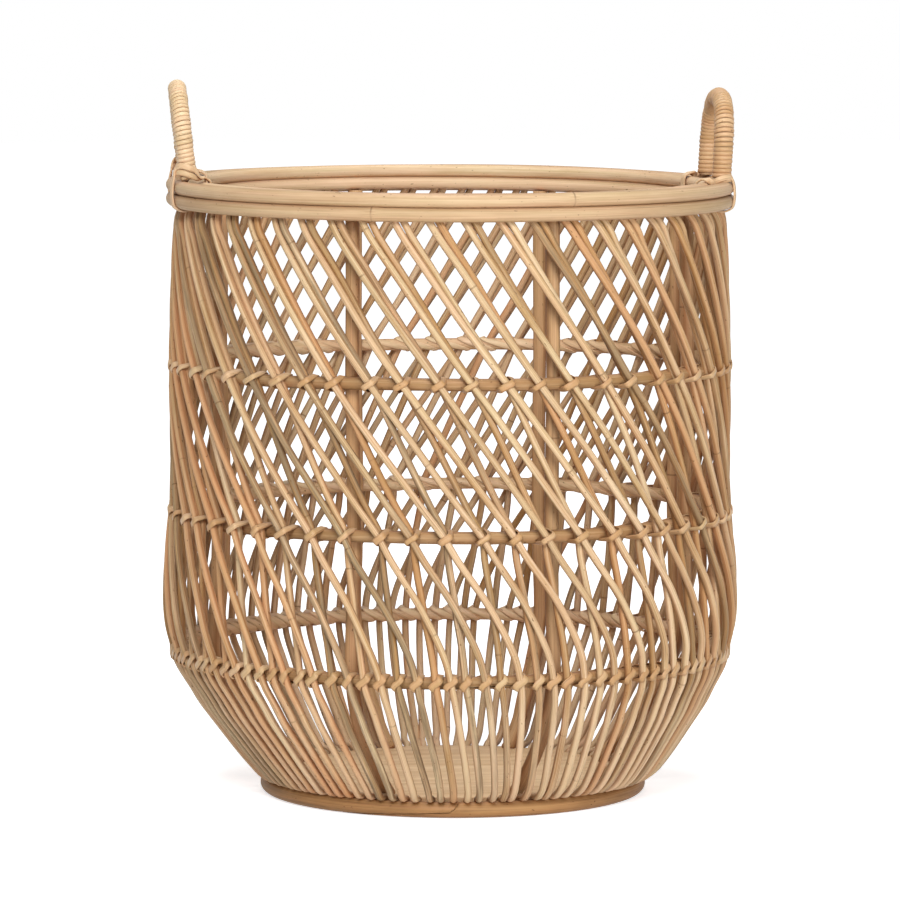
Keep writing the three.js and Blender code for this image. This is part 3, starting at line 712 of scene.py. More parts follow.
def stake_paths(rows, owner):
    """Middle lines [pair, place, xyz] of the outer (0) or inner (1) stakes: a smooth curve
    through the rows, unrolled, with ties shifted and canes bowed, then rolled up again."""
    rows = TOP_ROWS + rows + [(z, r, rows[-1][2] + d) for z, r, d in FOOT_ROWS]
    heights, radii, drift = np.array(rows).T
    share = np.stack([np.interp(-heights, -TIE_HEIGHTS, row) for row in np.eye(5)])
    beside, behind = side_by_side(heights, owner)
    start = (np.arange(PAIRS)[:, None] + 0.5 + drift) * PITCH
    angle = start + (beside / np.cos(SLANT) + tie_shift[:, owner] @ share) / radii
    flat = np.stack(np.broadcast_arrays(uneven(angle, heights) * WALL, radii - behind, heights), -1)
    place = lengths(flat[0])
    where = np.linspace(0, place[-1], STAKE_PLACES)
    flat = smooth_through(flat, place, where)
    paired = np.clip((flat[..., 2] - PARTED) / (UPPER - PARTED), 0, 1)
    bent = paired * bow(2, where) + (1 - paired) * bow(owner, where)
    off = np.interp(flat[..., 2], FOOT_OFF_HEIGHTS, FOOT_OFF_SHARES)[..., None] * FOOT_OFF
    return around(flat[..., 1], (flat[..., 0] + bent) / WALL, flat[..., 2]) + off


stakes = np.stack([stake_paths(OUTER_ROWS, 0), stake_paths(INNER_ROWS, 1)], 1)
print("stakes:", 2 * PAIRS, "each", round(float(lengths(stakes)[..., -1].mean())), "mm")

# %% [markdown]
# The tube round each line swells at its nodes and tapers a little to one end, and no two
# canes are quite as thick. The same function makes the uprights and the handles later.

# %% Stake tubes
STAKE_CORNERS = 12
NODE_SPACING = 330
NODE_HEIGHT, NODE_WIDTH = 0.12, 2.5
TAPER_LENGTH = 500


def cane_tubes(paths, thick, offset, taper=0.0, corners=STAKE_CORNERS):
    """Grid and grain of round canes along paths, with swollen nodes. The radius changes by
    taper over half a metre."""
    along = lengths(paths) + offset
    radius = thick / 2 * (1 + taper * (along - offset) / TAPER_LENGTH)
    radius = radius + node_swelling(along, NODE_SPACING, NODE_HEIGHT, NODE_WIDTH)
    section = radius[..., None, None] * circle(corners)
    return sweep(paths, section, paths * (1, 1, 0)), unrolled(paths, section, offset)


stake_width = random.normal(STAKE, 0.16, (PAIRS, 2, 1)).clip(4.6, 5.4)
stake_offset = random.uniform(0, 4000, (PAIRS, 2, 1))
stake_taper = random.uniform(-0.05, 0.05, (PAIRS, 2, 1))
stake_grid, stake_grain = cane_tubes(stakes, stake_width, stake_offset, stake_taper)
print("thinnest and thickest stake:", stake_width.min().round(2), stake_width.max().round(2), "mm")

# %% [markdown]
# Each cane has a tint of three numbers: its shade, how warm it is and how much bark is
# left. They are random, but for the canes in front whose colour stands out in the
# photograph: greyish ones with bark, orange ones, dark ones and pale ones.

# %% Stake shades
stake_tint = np.stack(
    [
        random.normal(0, 0.55, (PAIRS, 2)),
        np.where(random.uniform(size=(PAIRS, 2)) < 0.3, random.uniform(0.3, 0.9, (PAIRS, 2)), 0.08),
        np.where(random.uniform(size=(PAIRS, 2)) < 0.18, random.uniform(0.4, 0.95, (PAIRS, 2)), 0.05),
    ],
    -1,
)
# The number of a pair, and its outer (0) or inner (1) cane
SHADES = {
    (22, 0): (-0.5, 0.1, 0.7), (24, 0): (-0.3, 0.7, 0), (24, 1): (-0.6, 0.3, 0.5), (25, 0): (-0.4, 0.8, 0),
    (25, 1): (-0.2, 0.6, 0), (26, 0): (-0.1, 0.9, 0), (26, 1): (-0.5, 0.6, 0), (27, 0): (0, 0.8, 0),
    (28, 0): (-0.2, 0, 0.75), (29, 0): (0.2, 0.2, 0), (30, 0): (-0.4, 0, 0.95), (30, 1): (-1.4, 0, 0.9),
    (31, 0): (0.3, 0.15, 0), (32, 0): (-0.1, 0, 0.5), (32, 1): (-1.6, 0, 1), (33, 0): (0.4, 0.1, 0),
    (33, 1): (-1.3, 0.6, 0.1), (34, 0): (0.2, 0, 0.1), (35, 0): (0.2, 0.1, 0), (35, 1): (-1.1, 0, 0.5),
    (36, 0): (0.1, 0.1, 0.2), (37, 0): (0.3, 0, 0), (37, 1): (-0.8, 0.2, 0.2), (38, 0): (0.4, 0.1, 0),
    (39, 0): (0.5, 0, 0), (40, 0): (0.2, 0, 0), (41, 0): (0.1, 0.3, 0), (42, 0): (-0.8, 0, 0.75),
    (42, 1): (-1.1, 0, 0.6), (43, 0): (-0.5, 0.7, 0), (43, 1): (-1.0, 0.6, 0), (44, 0): (0.2, 0.1, 0),
    (45, 0): (-0.3, 0.5, 0), (46, 0): (-0.1, 0.1, 0.2), (47, 0): (-0.6, 0.4, 0), (48, 0): (-0.7, 0.4, 0),
}
for key, shade in SHADES.items():
    stake_tint[key] = shade
print("canes with a shade of their own:", len(SHADES))

# %% [markdown]
# Four neighbouring stakes make one piece, which stands for the solid of the same bundle.
# Below the lowest hoop the shade rises: painted light, for the light that the foot of the
# wall gets from below and in front.

# %% Stake pieces
BUNDLE = 2
SHADE_ONLY = np.array([1, 0, 0])
CONE_TOP, CONE_FADE, CONE_PAINTED_LIGHT = 105, 45, 1.5


def painted_cone_light(path):
    """What is added to the tint as painted light: a constant times a share that rises from 0
    at the top of the cone to 1 further down."""
    return CONE_PAINTED_LIGHT * np.clip((CONE_TOP - path[..., 2:]) / CONE_FADE, 0, 1) * SHADE_ONLY


for i in range(PAIRS // BUNDLE):
    chosen = slice(i * BUNDLE, (i + 1) * BUNDLE)
    four = stake_grid[chosen].reshape(-1, STAKE_PLACES, STAKE_CORNERS, 3)
    grain = stake_grain[chosen].reshape(four.shape)
    line = stakes[chosen].reshape(-1, STAKE_PLACES, 1, 3)
    # painted light on the canes below the lowest hoop
    tint = stake_tint[chosen].reshape(-1, 1, 1, 3) + painted_cone_light(line)
    node = "stakes_%02d" % (i + 1)
    make_piece(node + "_canes", four, grain, tint, stake_finish, [node])
print("stake pieces:", PAIRS // BUNDLE)

# %% [markdown]
# ## Rings
# Four thick canes make the rim, three thinner ones the hoops, and the thickest one the
# foot. A ring is the same sweep with a round path. Each wanders a little up and down.

# %% Ring paths
PLACES_PER_RADIAN = 58


def ring_path(radius, height, start, end, wander, tilt, seed):
    """An arc from one angle to another, at a height that wanders by a few waves and rises
    by tilt, a pair, towards the right and towards the back."""
    turn = np.linspace(start, end, int((end - start) * PLACES_PER_RADIAN))
    drawn = np.random.default_rng(seed)
    waves = np.arange(2, 7)
    size, phase = drawn.normal(0, wander, (2, 5)), drawn.uniform(0, TAU, (2, 5))
    wave = np.sum(size[..., None] * np.sin(waves[:, None] * turn + phase[..., None]), axis=1)
    rise = tilt[0] * np.cos(turn) + tilt[1] * np.sin(turn)
    return turn, around(radius + wave[0], turn, height + wave[1] + rise)


# %% [markdown]
# A ring is one cane whose two ends are shaved and lie on each other, a joint called a
# scarf. The ring runs on past a full turn, and each end has its section cut by a line that
# climbs along the joint. The lower end is what lies below the line, the upper one what
# lies above it, with a gap as thin as paper between them.

# %% Scarf joints
SCARF_GAP = 0.15
STEEP, STEEP_CUT = 0.93, -0.25


def scarf(section, turn, joint, overlap, radius):
    """A section cut where the ring's two ends lie on each other. The cut climbs slowly from
    the bottom and then steeply to the top at the joint: the first end stays under it, the
    last end above it. A cut past the middle is as wide as the circle there."""
    up = -section[..., 1]
    share = (turn[:, None] - (joint - overlap)) / overlap
    cut = np.interp(share % (TAU / overlap), [0, STEEP, 1], [-radius, STEEP_CUT * radius, radius])
    first, last = share < 1, share > TAU / overlap
    cut = np.clip(cut + np.where(first, -SCARF_GAP, SCARF_GAP), -radius, radius)
    kept = np.where(first, np.minimum(up, cut), np.where(last, np.maximum(up, cut), up))
    past = np.clip(np.where(first, -cut, cut) / radius, 0, 1)
    return np.stack([section[..., 0] * np.where(kept == up, 1, np.sqrt(1 - past**2)), -kept], -1)


# %% [markdown]
# One function makes all eight rings. It takes the joint's place and the place of the one
# node, because both show on the rim in the photograph.

# %% Ring pieces
RING_CORNERS = 28
RING_NODE_HEIGHT, RING_NODE_WIDTH = 0.3, 3.5


def ring_piece(name, radius, height, thick, finish, seed, joint, node_at, shade,
               overlap=0.5, wander=0.25, tilt=(0, 0), painted_back_light=0.0, off=(0, 0, 0)):
    """A ring of cane that replaces the solid of the same name. Its ends are joined at one
    angle, and its one node is at another. Towards the back its shade rises by the given
    amount: painted light at the back and painted shade in front."""
    turn, path = ring_path(radius, height, joint - overlap, joint + TAU, wander, tilt, seed)
    offset = -radius * ((node_at - joint + overlap) % TAU)
    swelling = node_swelling(lengths(path) + offset, RING_SPACING, RING_NODE_HEIGHT, RING_NODE_WIDTH)
    round_section = (thick / 2 + swelling)[:, None, None] * circle(RING_CORNERS)
    section = scarf(round_section, turn, joint, overlap, thick / 2)
    grain = unrolled(path, round_section, offset)
    path = path + np.array(off)
    # painted light towards the back and painted shade in front, by the angle round the basket
    tint = np.array(shade) + (painted_back_light * np.sin(turn))[None, :, None, None] * SHADE_ONLY
    grid = sweep(path, section, path * (1, 1, 0))
    make_piece(name + "_cane", grid[None], grain[None], tint, finish, [name])
    print(name, "cane:", round(float(lengths(path)[-1]) / 1000, 2), "m")


# %% [markdown]
# The rim is two pairs of canes with the tops of the stakes between them. The real rim
# isn't level: it rises to the back and to the left, the inner pair more than the outer
# one, and the inner canes are a little thinner.

# %% Rims
RIM_RADIUS = OUTSIDE - RIM / 2
INNER_RIM_RADIUS = RIM_RADIUS - RIM - STAKE
RIM_LIFT = RIM - 0.1
INNER_RIM, INNER_LIFT, INNER_TILT = 8.9, 2.5, 2.2
INNER_RIM_LIFT = INNER_RIM - 0.1
OUTER_LIFT, OUTER_TILT, SIDE_TILT = 1.6, 1.6, -0.8

# Height of each cane, where its joint and its node are, and its shade
OUTER_RIMS = {
    "rim_outer_lower": (RIM_HEIGHT + OUTER_LIFT, 0.12, -1.908, (-0.1, 0.1, 0.1)),
    "rim_outer_upper": (RIM_HEIGHT + OUTER_LIFT + RIM_LIFT, 3.04, -1.206, (0.1, 0.05, 0)),
}
INNER_RIMS = {
    "rim_inner_lower": (RIM_HEIGHT + INNER_LIFT, -0.1, -1.57, (0.4, 0.15, 0)),
    "rim_inner_upper": (RIM_HEIGHT + INNER_LIFT + INNER_RIM_LIFT, 3.2, 0.1, (0.2, 0, 0.1)),
}
for name, (height, joint, node_at, shade) in OUTER_RIMS.items():
    ring_piece(name, RIM_RADIUS, height, RIM, rim_finish, 1, joint, node_at, shade,
               tilt=(SIDE_TILT, OUTER_TILT))
for name, (height, joint, node_at, shade) in INNER_RIMS.items():
    ring_piece(name, INNER_RIM_RADIUS, height, INNER_RIM, inner_rim_finish, 2, joint, node_at,
               shade, tilt=(SIDE_TILT, INNER_TILT))

# %% [markdown]
# The hoops lie behind the stakes and hold them in shape. Their shade rises from front to
# back: painted shade in front, where they lie behind the stakes, and painted light at the
# back, which light reaches through the open top. The thick foot ring has its joint in
# front, long and plain to see, and it sits a little off the middle.

# %% Hoops and foot
HOOP = 8.5
HOOP_RADII = {"upper": 184.8, "middle": 182.25, "lower": 185.75}
HOOP_HEIGHTS = {"upper": UPPER, "middle": MIDDLE_HOOP, "lower": LOWER}
# how much the hoops are painted lighter at the back and darker in front
HOOP_SHADE, HOOP_PAINTED_LIGHT = (-0.1, 0.1, 0.05), 1.2
BASE_RADIUS, BASE_RAISED, BASE_TILT = 129.2, 0.3, (-0.3, 0)
BASE_JOINT, BASE_OVERLAP = np.radians(-91.8), np.radians(38.8)
BASE_OFF = (1.9, -0.1, 0)
BASE_SHADE = (-0.1, 0.1, 0)

for i, name in enumerate(HOOP_RADII):
    ring_piece("hoop_" + name, HOOP_RADII[name], HOOP_HEIGHTS[name], HOOP, hoop_finish, 5 + i,
               1.0 + 2 * i, -2.5 + i, HOOP_SHADE, painted_back_light=HOOP_PAINTED_LIGHT)
ring_piece("base_ring", BASE_RADIUS, BASE / 2 + BASE_RAISED, BASE, foot_finish, 9, BASE_JOINT,
           1.0, BASE_SHADE, overlap=BASE_OVERLAP, wander=0.0, tilt=BASE_TILT, off=BASE_OFF)

# %% [markdown]
# ## Board
# A thin round board closes the bottom. The stakes' ends sit between it and the foot ring.
# It is a disc with a rounded edge, turned from a profile, and its grain runs across.

# %% Board shape
BOARD_RADIUS, BOARD_EDGE = 118.6, 0.8
BOARD_HOLE, BOARD_RING = 0.5, BOARD_RADIUS * 0.6
BOARD_PLACES = 160


def board_grid():
    """A turned disc: radii and heights from the underside's middle over the edge to the
    top's middle, carried once round. The tiny holes in the middle are capped."""
    bend = np.linspace(-np.pi / 2, np.pi / 2, 7)
    edge_radii = BOARD_RADIUS - BOARD_EDGE + BOARD_EDGE * np.cos(bend)
    edge_middle = np.where(bend < 0, BOARD_LOW + BOARD_EDGE, BOARD_TOP - BOARD_EDGE)
    edge_heights = edge_middle + BOARD_EDGE * np.sin(bend)
    radii = np.concatenate([[BOARD_HOLE, BOARD_RING], edge_radii, [BOARD_RING, BOARD_HOLE]])
    heights = np.concatenate([[BOARD_LOW, BOARD_LOW], edge_heights, [BOARD_TOP, BOARD_TOP]])
    turn = -TAU * np.arange(BOARD_PLACES) / BOARD_PLACES
    return around(radii[:, None], turn[None, :], heights[:, None])


# %% [markdown]
# The board's wood is straight-grained and pale. Wide bands and fine lines run from left
# to right, read from the place in the object, since a flat board needs no unrolling.

# %% Board piece
BANDS, GRAIN_LINES = (7, 95, 60), (14, 900, 300)
BOARD_DARK, BOARD_PALE = (0.68, 0.46, 0.235, 1), (0.88, 0.67, 0.41, 1)
BOARD_LINE = (0.46, 0.28, 0.13, 1)
BOARD_BUMP = 0.12


def board_finish():
    """Bands between two colours, and darker lines over them that are a little rougher."""
    material, tree = new_material("board_wood")
    where = add_node(tree, "ShaderNodeTexCoord").outputs["Object"]
    band = noise_at(tree, where, BANDS, 4)
    line = noise_at(tree, where, GRAIN_LINES, 3)
    base = mixed(tree, mapped(tree, band, 0.3, 0.7), BOARD_DARK, BOARD_PALE)
    base = mixed(tree, mapped(tree, line, 0.45, 0.7, 0.0, 0.4), base, BOARD_LINE)
    shader = add_node(tree, "ShaderNodeBsdfPrincipled")
    relief = add_node(tree, "ShaderNodeBump", {"Strength": BOARD_BUMP, "Distance": RELIEF_DEPTH})
    out = add_node(tree, "ShaderNodeOutputMaterial")
    join(tree, base, shader.inputs["Base Color"])
    join(tree, mapped(tree, line, 0.3, 0.7, 0.5, 0.68), shader.inputs["Roughness"])
    join(tree, line, relief.inputs["Height"])
    join(tree, relief.outputs[0], shader.inputs["Normal"])
    join(tree, shader.outputs[0], out.inputs[0])
    return material


disc = board_grid()[None] + np.array(BASE_OFF)
make_piece("base_board_disc", disc, disc, (0, 0, 0), board_finish(), ["base_board"])
print("board:", 2 * BOARD_RADIUS, "mm across,", round(BOARD_TOP - BOARD_LOW, 1), "mm thick")

# %% [markdown]
# ## Uprights
# Eight stout canes are nailed inside the hoops. They stand on the board, lean out to the
# lowest hoop, follow the wall and end under the inner rim, wherever it is on its slope.

# %% Upright pieces
UPRIGHTS, UPRIGHT = 8, 9.5
UPRIGHT_START = np.radians(19.25)
INSIDE_HOOP = HOOP / 2 + UPRIGHT / 2 + 0.8
SEAT = 0.3
UPRIGHT_TOP = RIM_HEIGHT + INNER_LIFT - INNER_RIM / 2 - SEAT
BENT_FROM, BENT_OVER = 360.0, 48

# Height and radius of the middle line
upright_rows = np.array([
    (BOARD_TOP + SEAT, 112.2), (30.0, 132.5), (54.0, 154.0), (76.0, 168.5),
    (LOWER, HOOP_RADII["lower"] - INSIDE_HOOP), (150.0, 173.6),
    (MIDDLE_HOOP, HOOP_RADII["middle"] - INSIDE_HOOP), (248.0, 173.4),
    (UPPER, HOOP_RADII["upper"] - INSIDE_HOOP), (BENT_FROM, 174.0), (UPRIGHT_TOP, 174.2),
])
upright_place = lengths(upright_rows)
upright_line = smooth_through(upright_rows, upright_place, np.linspace(0, upright_place[-1], 90))
upright_bend = np.clip((upright_line[:, 0] - BENT_FROM) / BENT_OVER, 0, 1)
upright_random = np.random.default_rng(5)
for i in range(UPRIGHTS):
    angle = UPRIGHT_START + TAU * i / UPRIGHTS
    rise = (SIDE_TILT * np.cos(angle) + INNER_TILT * np.sin(angle)) * upright_bend
    path = around(upright_line[:, 1], angle, upright_line[:, 0] + rise)
    grid, grain = cane_tubes(path[None], UPRIGHT, upright_random.uniform(0, 3000), corners=20)
    tint = (upright_random.normal(0, 0.4), upright_random.uniform(0, 0.5), upright_random.uniform(0, 0.3))
    name = "upright_%02d" % (i + 1)
    make_piece(name + "_cane", grid, grain, tint, upright_finish, [name])
print("uprights:", UPRIGHTS, "each", round(float(upright_place[-1])), "mm")

# %% [markdown]
# ## Lashings of the hoops
# One long strip of peel ties each hoop. It comes over the hoop, crosses a cane slantwise
# on the outside, goes under, and climbs behind the hoop to the next tie. It lies flat on
# what it wraps: the outline round the hoop and the cane together, which is the hull of
# circles. The hull is exact and cheap; draping a soft strip would take a simulation.

# %% Strips round a hull
OUTLINE_START = 108
OUTLINE_STEPS = 2


def hull_of(circles, lift):
    """Outline round circles (x, z, radius), moved out by lift: each normal's point lies on
    the circle that reaches furthest that way. It starts on top of the first circle and runs
    down the outside. Gives points, normals, lengths, and the length at the mirrored start."""
    degrees = np.linspace(OUTLINE_START, OUTLINE_START - 360, 360 * OUTLINE_STEPS + 1)
    turn = np.radians(degrees)
    normal = np.stack([np.cos(turn), np.sin(turn)], -1)
    circles = np.array(circles)
    chosen = np.argmax(normal @ circles[:, :2].T + circles[:, 2], axis=1)
    point = circles[chosen, :2] + normal * (circles[chosen, 2:] + lift)
    along = lengths(point)
    return point, normal, along, along[2 * OUTLINE_STEPS * OUTLINE_START]


def strip_section(width, thick, crown=0.25):
    """Eight corners of a flat strip, crowned on its outer face and rounded at its edges."""
    half, t = width / 2, thick / 2
    return np.array([
        (t + crown, 0), (t + crown * 0.6, half * 0.55), (t * 0.5, half * 0.96), (-t * 0.7, half * 0.9),
        (-t, 0), (-t * 0.7, -half * 0.9), (t * 0.5, -half * 0.96), (t + crown * 0.6, -half * 0.55),
    ])


# %% [markdown]
# Half of each round lies on the outside, and half behind the hoop. On the outside the
# strip moves back a little as it goes down, which gives the tie its slant, and behind the
# hoop it makes up for that and goes on to the next cane.

# %% Ties
STRIP_THICKNESS, STRIP_CLEAR = 0.8, 0.05
STEPS = 48
FLATTER = 0.9
CROSSING, CROSSING_SLANT = 3.2, 0.85
UNEVEN_BACK = 0.15


def tie_path(hoop, ties, back, stand, run, drawn):
    """Path and facing of one hoop's strip. ties are the canes' angles, in order. The strip
    crosses each cane slantwise, so it moves back by back millimetres where it lies on the
    outside, and it goes forward behind the hoop to the next tie. The tied cane's middle
    stands out by stand from the hoop's, and the strip lies flat on it for 2 * run."""
    corner = STAKE / 2 - FLATTER
    circles = [(0, 0, HOOP / 2), (stand + FLATTER, run, corner), (stand + FLATTER, -run, corner)]
    point, normal, along, bottom = hull_of(circles, STRIP_THICKNESS / 2 + STRIP_CLEAR)
    share = np.arange(STEPS) / STEPS
    outside, there = share < 0.5, 2 * share - 1
    turned = np.where(outside, share * 2 * bottom, bottom + there * (along[-1] - bottom))
    x, z = np.interp(turned, along, point[:, 0]), np.interp(turned, along, point[:, 1])
    nx, nz = np.interp(turned, along, normal[:, 0]), np.interp(turned, along, normal[:, 1])
    count, radius = len(ties), HOOP_RADII[hoop]
    following = np.append(ties[1:], ties[0] + TAU)[:, None]
    half = (back * (1 + drawn.normal(0, UNEVEN_BACK, count)) / 2 / radius)[:, None]
    reach = following + np.roll(half, -1, axis=0) - ties[:, None] + half
    behind = ties[:, None] - half + reach * there**2 * (3 - 2 * there)
    across = ties[:, None] + half * np.sin(np.clip(z / CROSSING, -1, 1) * np.pi / 2)
    angle = np.where(outside, across, behind)
    path = around(radius + x, angle, HOOP_HEIGHTS[hoop] + z)
    slant = np.where(outside, CROSSING_SLANT * np.clip(np.sin(TAU * share), 0, 1) ** 0.5, 0)
    facing = around(nx, angle, nz * np.cos(slant)) + around(nz * np.sin(slant), angle + np.pi / 2, 0)
    path, facing = path.reshape(-1, 3), facing.reshape(-1, 3)
    return np.concatenate([path, path[:1]]), np.concatenate([facing, facing[:1]])


# %% [markdown]
# The strip's width varies, and its shade changes a little from tie to tie, as new lengths
# of peel are let in. Its shade also rises towards the back: painted light at the back and
# painted shade in front, as on the hoops. The upper and the middle hoop have one tie for
# each pair, and the lowest has one for each cane.

# %% Hoop lashings
WIDE_WAVE, WIDE_WAVE_LENGTH = 0.1, 23.0
SMALL_WAVE, SMALL_WAVE_LENGTH = 0.05, 7.1
PEEL_SHADE, PEEL_PAINTED_LIGHT = 0.6, 1.3


def tie_strip(hoop, ties, back, stand, run, width, seed):
    """The strip of one hoop as a piece of its own. Its width changes by two waves along it,
    and its shade by each tie's own number, and it rises towards the back as painted light,
    with painted shade in front."""
    drawn = np.random.default_rng(seed)
    path, facing = tie_path(hoop, ties, back, stand, run, drawn)
    along = lengths(path)
    wide_wave, small_wave = np.sin(along / WIDE_WAVE_LENGTH), np.sin(along / SMALL_WAVE_LENGTH)
    wide = width * (1 + WIDE_WAVE * wide_wave + SMALL_WAVE * small_wave)
    section = strip_section(1, STRIP_THICKNESS) * np.stack([np.ones_like(wide), wide], -1)[:, None, :]
    each_tie = drawn.normal(0, PEEL_SHADE, len(ties))
    shade = np.interp(np.arange(len(path)), np.arange(len(ties)) * STEPS, each_tie)
    # painted light at the back, painted shade in front
    shade = shade + PEEL_PAINTED_LIGHT * path[:, 1] / HOOP_RADII[hoop]
    tint = np.stack([shade, 0.15 + 0.15 * np.sin(3 * shade), 0 * shade], -1)[None, :, None, :]
    grid, grain = sweep(path, section, facing), unrolled(path, section, seed * 100.0)
    make_piece("lashing_hoop_" + hoop, grid[None], grain[None], tint, strip_finish, ())
    print(hoop, "hoop, ties:", len(ties), "strip", round(float(along[-1]) / 1000, 2), "m")


def tie_angles(owners, height):
    """Angles, in order, at which the stakes of the given kinds cross a height."""
    paths = stakes[:, owners].reshape(-1, STAKE_PLACES, 3)
    there = paths[np.arange(len(paths)), np.argmin(np.abs(paths[..., 2] - height), axis=1)]
    return np.sort(np.arctan2(there[:, 1], there[:, 0]) % TAU)


# The canes tied, and for the strip: back, stand, run, width and seed
TIES = {
    "upper": ([0], 7.4, 8.0, 0.7, 4.5, 21),
    "middle": ([0], 6.2, 11.4, 1.0, 4.4, 22),
    "lower": ([0, 1], 5.8, 6.6, 2.2, 4.8, 23),
}
for hoop, (owners, *strip) in TIES.items():
    tie_strip(hoop, tie_angles(owners, HOOP_HEIGHTS[hoop]), *strip)

# %% [markdown]
# ## Handles
# Each handle is a cane bent to an arch whose shaved ends go down between the rims. The
# arch is a superellipse on two straight legs, a form between a half circle and a square
# one, and it leans outwards as it rises.

# %% Handle lines
HANDLE_FOOT = 427.0
LEG_ANGLE = 2 * PITCH
LEG_RADIUS = 188.6
HALF_SPAN = LEG_RADIUS * np.sin(LEG_ANGLE)
HANDLE_RADIUS = LEG_RADIUS * np.cos(LEG_ANGLE)
LEG_STRAIGHT = 20.0
ARCH_POWER = 2.35
ARCH_PLACES = 400


def arch_points(rise):
    """The handle's middle line in its own plane, along the rim and up: straight legs, and
    between them a rounded arch, |y/a|^p + |z/b|^p = 1."""
    turn = np.linspace(np.pi, 0, ARCH_PLACES)
    y = HALF_SPAN * np.sign(np.cos(turn)) * np.abs(np.cos(turn)) ** (2 / ARCH_POWER)
    z = LEG_STRAIGHT + rise * np.sin(turn) ** (2 / ARCH_POWER)
    return np.stack([np.concatenate([[-HALF_SPAN], y, [HALF_SPAN]]), np.concatenate([[0], z, [0]])], -1)


def handle_path(turn, rise, lean, shift, places):
    """The middle line at even steps, moved out by shift and leaning outwards by lean as it
    rises, turned to its side."""
    flat = arch_points(rise)
    along = lengths(flat)
    where = np.linspace(0, along[-1], places)
    y, z = np.interp(where, along, flat[:, 0]), np.interp(where, along, flat[:, 1])
    x = HANDLE_RADIUS + shift + lean * z / (LEG_STRAIGHT + rise)
    foot = HANDLE_FOOT + OUTER_LIFT + SIDE_TILT * np.cos(turn)
    return np.stack([x * np.cos(turn) - y * np.sin(turn), x * np.sin(turn) + y * np.cos(turn), foot + z], -1)


# %% [markdown]
# A glossy strip is wound round each handle in nearly sixty narrow turns. The turns are a
# helix round the arch, and the strip is crowned, so that light picks out every turn. A
# bump texture could hint at them, but not at their outline against the white ground.

# %% Wound strips
WRAP_THICKNESS, WRAP_PITCH = 1.2, 3.0
WRAP_WIDTH = WRAP_PITCH * 1.04
WRAP_MARGIN = 1.5
TURN_PLACES = 20
TURN_LIFT, TURN_SHADE = 0.14, 0.4


def wound_strip(line, core, seed):
    """A crowned strip wound round a line: its path circles it once each pitch, on frames
    made from the way and from the outward direction."""
    total = lengths(line)[-1]
    turns = int(total / WRAP_PITCH)
    places = turns * TURN_PLACES
    spot = np.linspace(WRAP_MARGIN, total - WRAP_MARGIN, places)
    middle = np.stack([np.interp(spot, lengths(line), line[:, i]) for i in range(3)], -1)
    way = unit(np.gradient(middle, axis=0))
    out = unit(middle * (1, 1, 0))
    out = unit(out - np.sum(out * way, -1, keepdims=True) * way)
    angle = (TAU * turns * np.arange(places) / places)[:, None]
    radial = out * np.cos(angle) + np.cross(way, out) * np.sin(angle)
    drawn = np.random.default_rng(seed)
    here, each_turn = np.arange(places), np.arange(0, places + TURN_PLACES, TURN_PLACES)
    lift = np.interp(here, each_turn, drawn.normal(0, TURN_LIFT, turns + 1))
    path = middle + radial * (core / 2 + WRAP_THICKNESS / 2 + lift[:, None])
    section = strip_section(WRAP_WIDTH, WRAP_THICKNESS)
    shade = np.interp(here, each_turn, drawn.normal(0, TURN_SHADE, turns + 1))
    tint = np.stack([shade, 0.15 + 0 * shade, 0 * shade], -1)
    print("turns:", turns, "strip", round(float(lengths(path)[-1]) / 1000, 2), "m")
    return sweep(path, section, radial), unrolled(path, section, seed * 50.0), tint


# %% [markdown]
# The two handles aren't a perfect pair. The left one is higher, leans out more, and its
# peel is paler.

# %% Handles
# Turn round the basket, rise, lean, shift, thickness of the core, and shade of the strip
HANDLES = {
    "right": (0.0, 35.8, 3.4, 0.7, 10.7, (-0.7, 0.15, 0)),
    "left": (np.pi, 40.8, 6.6, -1.3, 9.4, (0.8, -0.15, 0.05)),
}
for i, (side, (turn, rise, lean, shift, core, shade)) in enumerate(HANDLES.items()):
    line = handle_path(turn, rise, lean, shift, 160)
    grid, grain = cane_tubes(line[None], core, 100.0, corners=20)
    make_piece("handle_" + side + "_core", grid, grain, (0, 0, 0), rim_finish, ["handle_" + side])
    grid, grain, tint = wound_strip(handle_path(turn, rise, lean, shift, 600), core, 31 + i)
    tint = tint[None, :, None, :] + np.array(shade)
    make_piece("handle_" + side + "_turns", grid[None], grain[None], tint, strip_finish,
               ["handle_" + side + "_wrap"])

# %% [markdown]
# Each leg is bound to the rim. A strip comes up the outside of the rim, goes round the
# foot of the leg and down the inside, and does so twice before its ends are tucked under.
# The table walks along one loop. It was laid out point by point, as the strip
# would be led. Where the rim is higher or lower, the loops follow it.

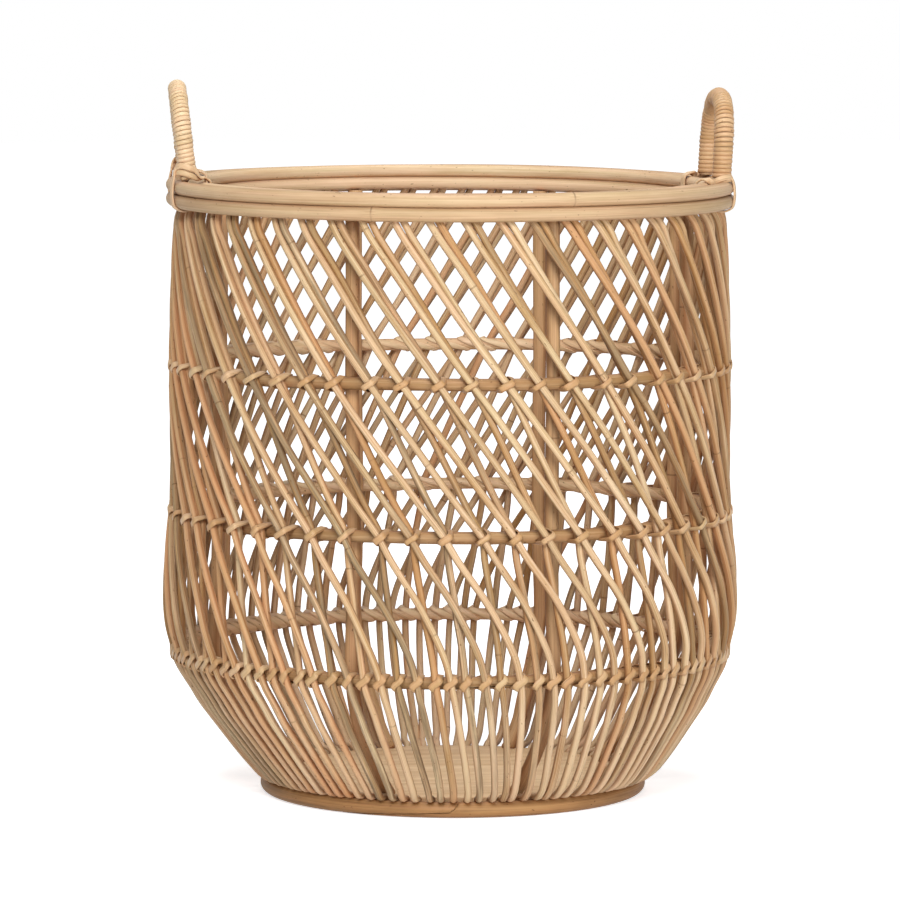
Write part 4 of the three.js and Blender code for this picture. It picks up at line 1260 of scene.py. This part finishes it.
# %% Strap route
# Radius, distance past the leg, height, facing (outwards, past the leg, up), and how far
# the point belongs to the leg rather than to the rim
LOOP_ROWS = np.array([
    (184.5, -2.0, 406.7, 0, 0, -1, 0), (192.4, -2.6, 406.1, 0.1, 0, -1, 0),
    (196.7, -3.6, 408.6, 0.8, 0, -0.7, 0), (198.1, -4.6, 414.0, 1, 0, 0, 0),
    (198.1, -4.8, 420.5, 1, 0, 0, 0), (197.5, -3.8, 426.2, 1, 0, 0.25, 0.2),
    (196.3, -0.8, 431.4, 1, 0, 0.1, 0.8), (193.9, 4.4, 432.4, 0.75, 0.65, 0, 1),
    (188.8, 7.5, 430.9, 0, 1, 0, 1), (183.7, 6.0, 428.9, -0.6, 0.75, 0.2, 1),
    (180.6, 2.6, 428.3, -0.8, 0.2, 0.6, 0.2), (177.0, 0.6, 428.3, -0.2, 0, 1, 0.1),
    (172.9, -0.4, 426.0, -0.8, 0, 0.5, 0), (171.9, -0.8, 420.5, -1, 0, 0, 0),
    (171.9, -0.8, 414.5, -1, 0, 0, 0), (174.0, -1.2, 409.6, -0.7, 0, -0.7, 0),
    (178.0, -1.6, 407.6, 0, 0, -1, 0),
])
print("points along one loop:", len(LOOP_ROWS))

# %% [markdown]
# The second loop lies beside the first on the rim and close to it round the leg. The
# bindings sit at different heights on the two handles, so each leg says how far its two
# loops have climbed.

# %% Leg lashings
STRAP_WIDTH, STRAP_THICKNESS, STRAP_CROWN = 4.4, 1.2, 0.3
LOOP_STEP, LOOP_CLOSER = 3.5, 2.7
STRAP_PLACES = 280


def bound_strip(turn, mirror, climb, seed):
    """The strip of one leg at an angle, mirrored for a leg on the handle's other end. climb
    moves its two loops up the leg, in millimetres."""
    over, still = LOOP_ROWS[:, 6:], np.zeros((len(LOOP_ROWS), 3))
    beside = [i * (LOOP_STEP - LOOP_CLOSER * over) for i in (0, 1)]
    moved = [np.concatenate([0 * over, beside[i], climb[i] * over, still], -1) for i in (0, 1)]
    both = np.concatenate([LOOP_ROWS[:, :6] + moved[0], LOOP_ROWS[:, :6] + moved[1]])
    place = lengths(both[:, :3])
    rows = smooth_through(both, place, np.linspace(0, place[-1], STRAP_PLACES))
    angle = turn + mirror * rows[:, 1] / LEG_RADIUS
    rise = OUTER_LIFT + SIDE_TILT * np.cos(angle) + OUTER_TILT * np.sin(angle)
    path = around(rows[:, 0], angle, rows[:, 2] + rise)
    out, past = around(1, angle, 0), mirror * around(1, angle + np.pi / 2, 0)
    facing = rows[:, 3:4] * out + rows[:, 4:5] * past + rows[:, 5:6] * (0, 0, 1)
    section = np.broadcast_to(strip_section(STRAP_WIDTH, STRAP_THICKNESS, STRAP_CROWN), (len(path), 8, 2))
    return sweep(path, section, facing), unrolled(path, section, seed * 60.0)


RIGHT_CLIMB, LEFT_CLIMB = (-4.2, -2.8), (0, 4.6)
LEGS = {
    "right_front": (-LEG_ANGLE, -1, RIGHT_CLIMB),
    "right_back": (LEG_ANGLE, 1, RIGHT_CLIMB),
    "left_front": (np.pi + LEG_ANGLE, 1, LEFT_CLIMB),
    "left_back": (np.pi - LEG_ANGLE, -1, LEFT_CLIMB),
}
for i, (name, (turn, mirror, climb)) in enumerate(LEGS.items()):
    grid, grain = bound_strip(turn, mirror, climb, 41 + i)
    make_piece("lashing_" + name + "_strip", grid[None], grain[None], (0.4, 0.1, 0), strip_finish,
               ["lashing_" + name])
    print(name, "strap:", round(float(np.ptp(grain[..., 2])) / 1000, 3), "m")
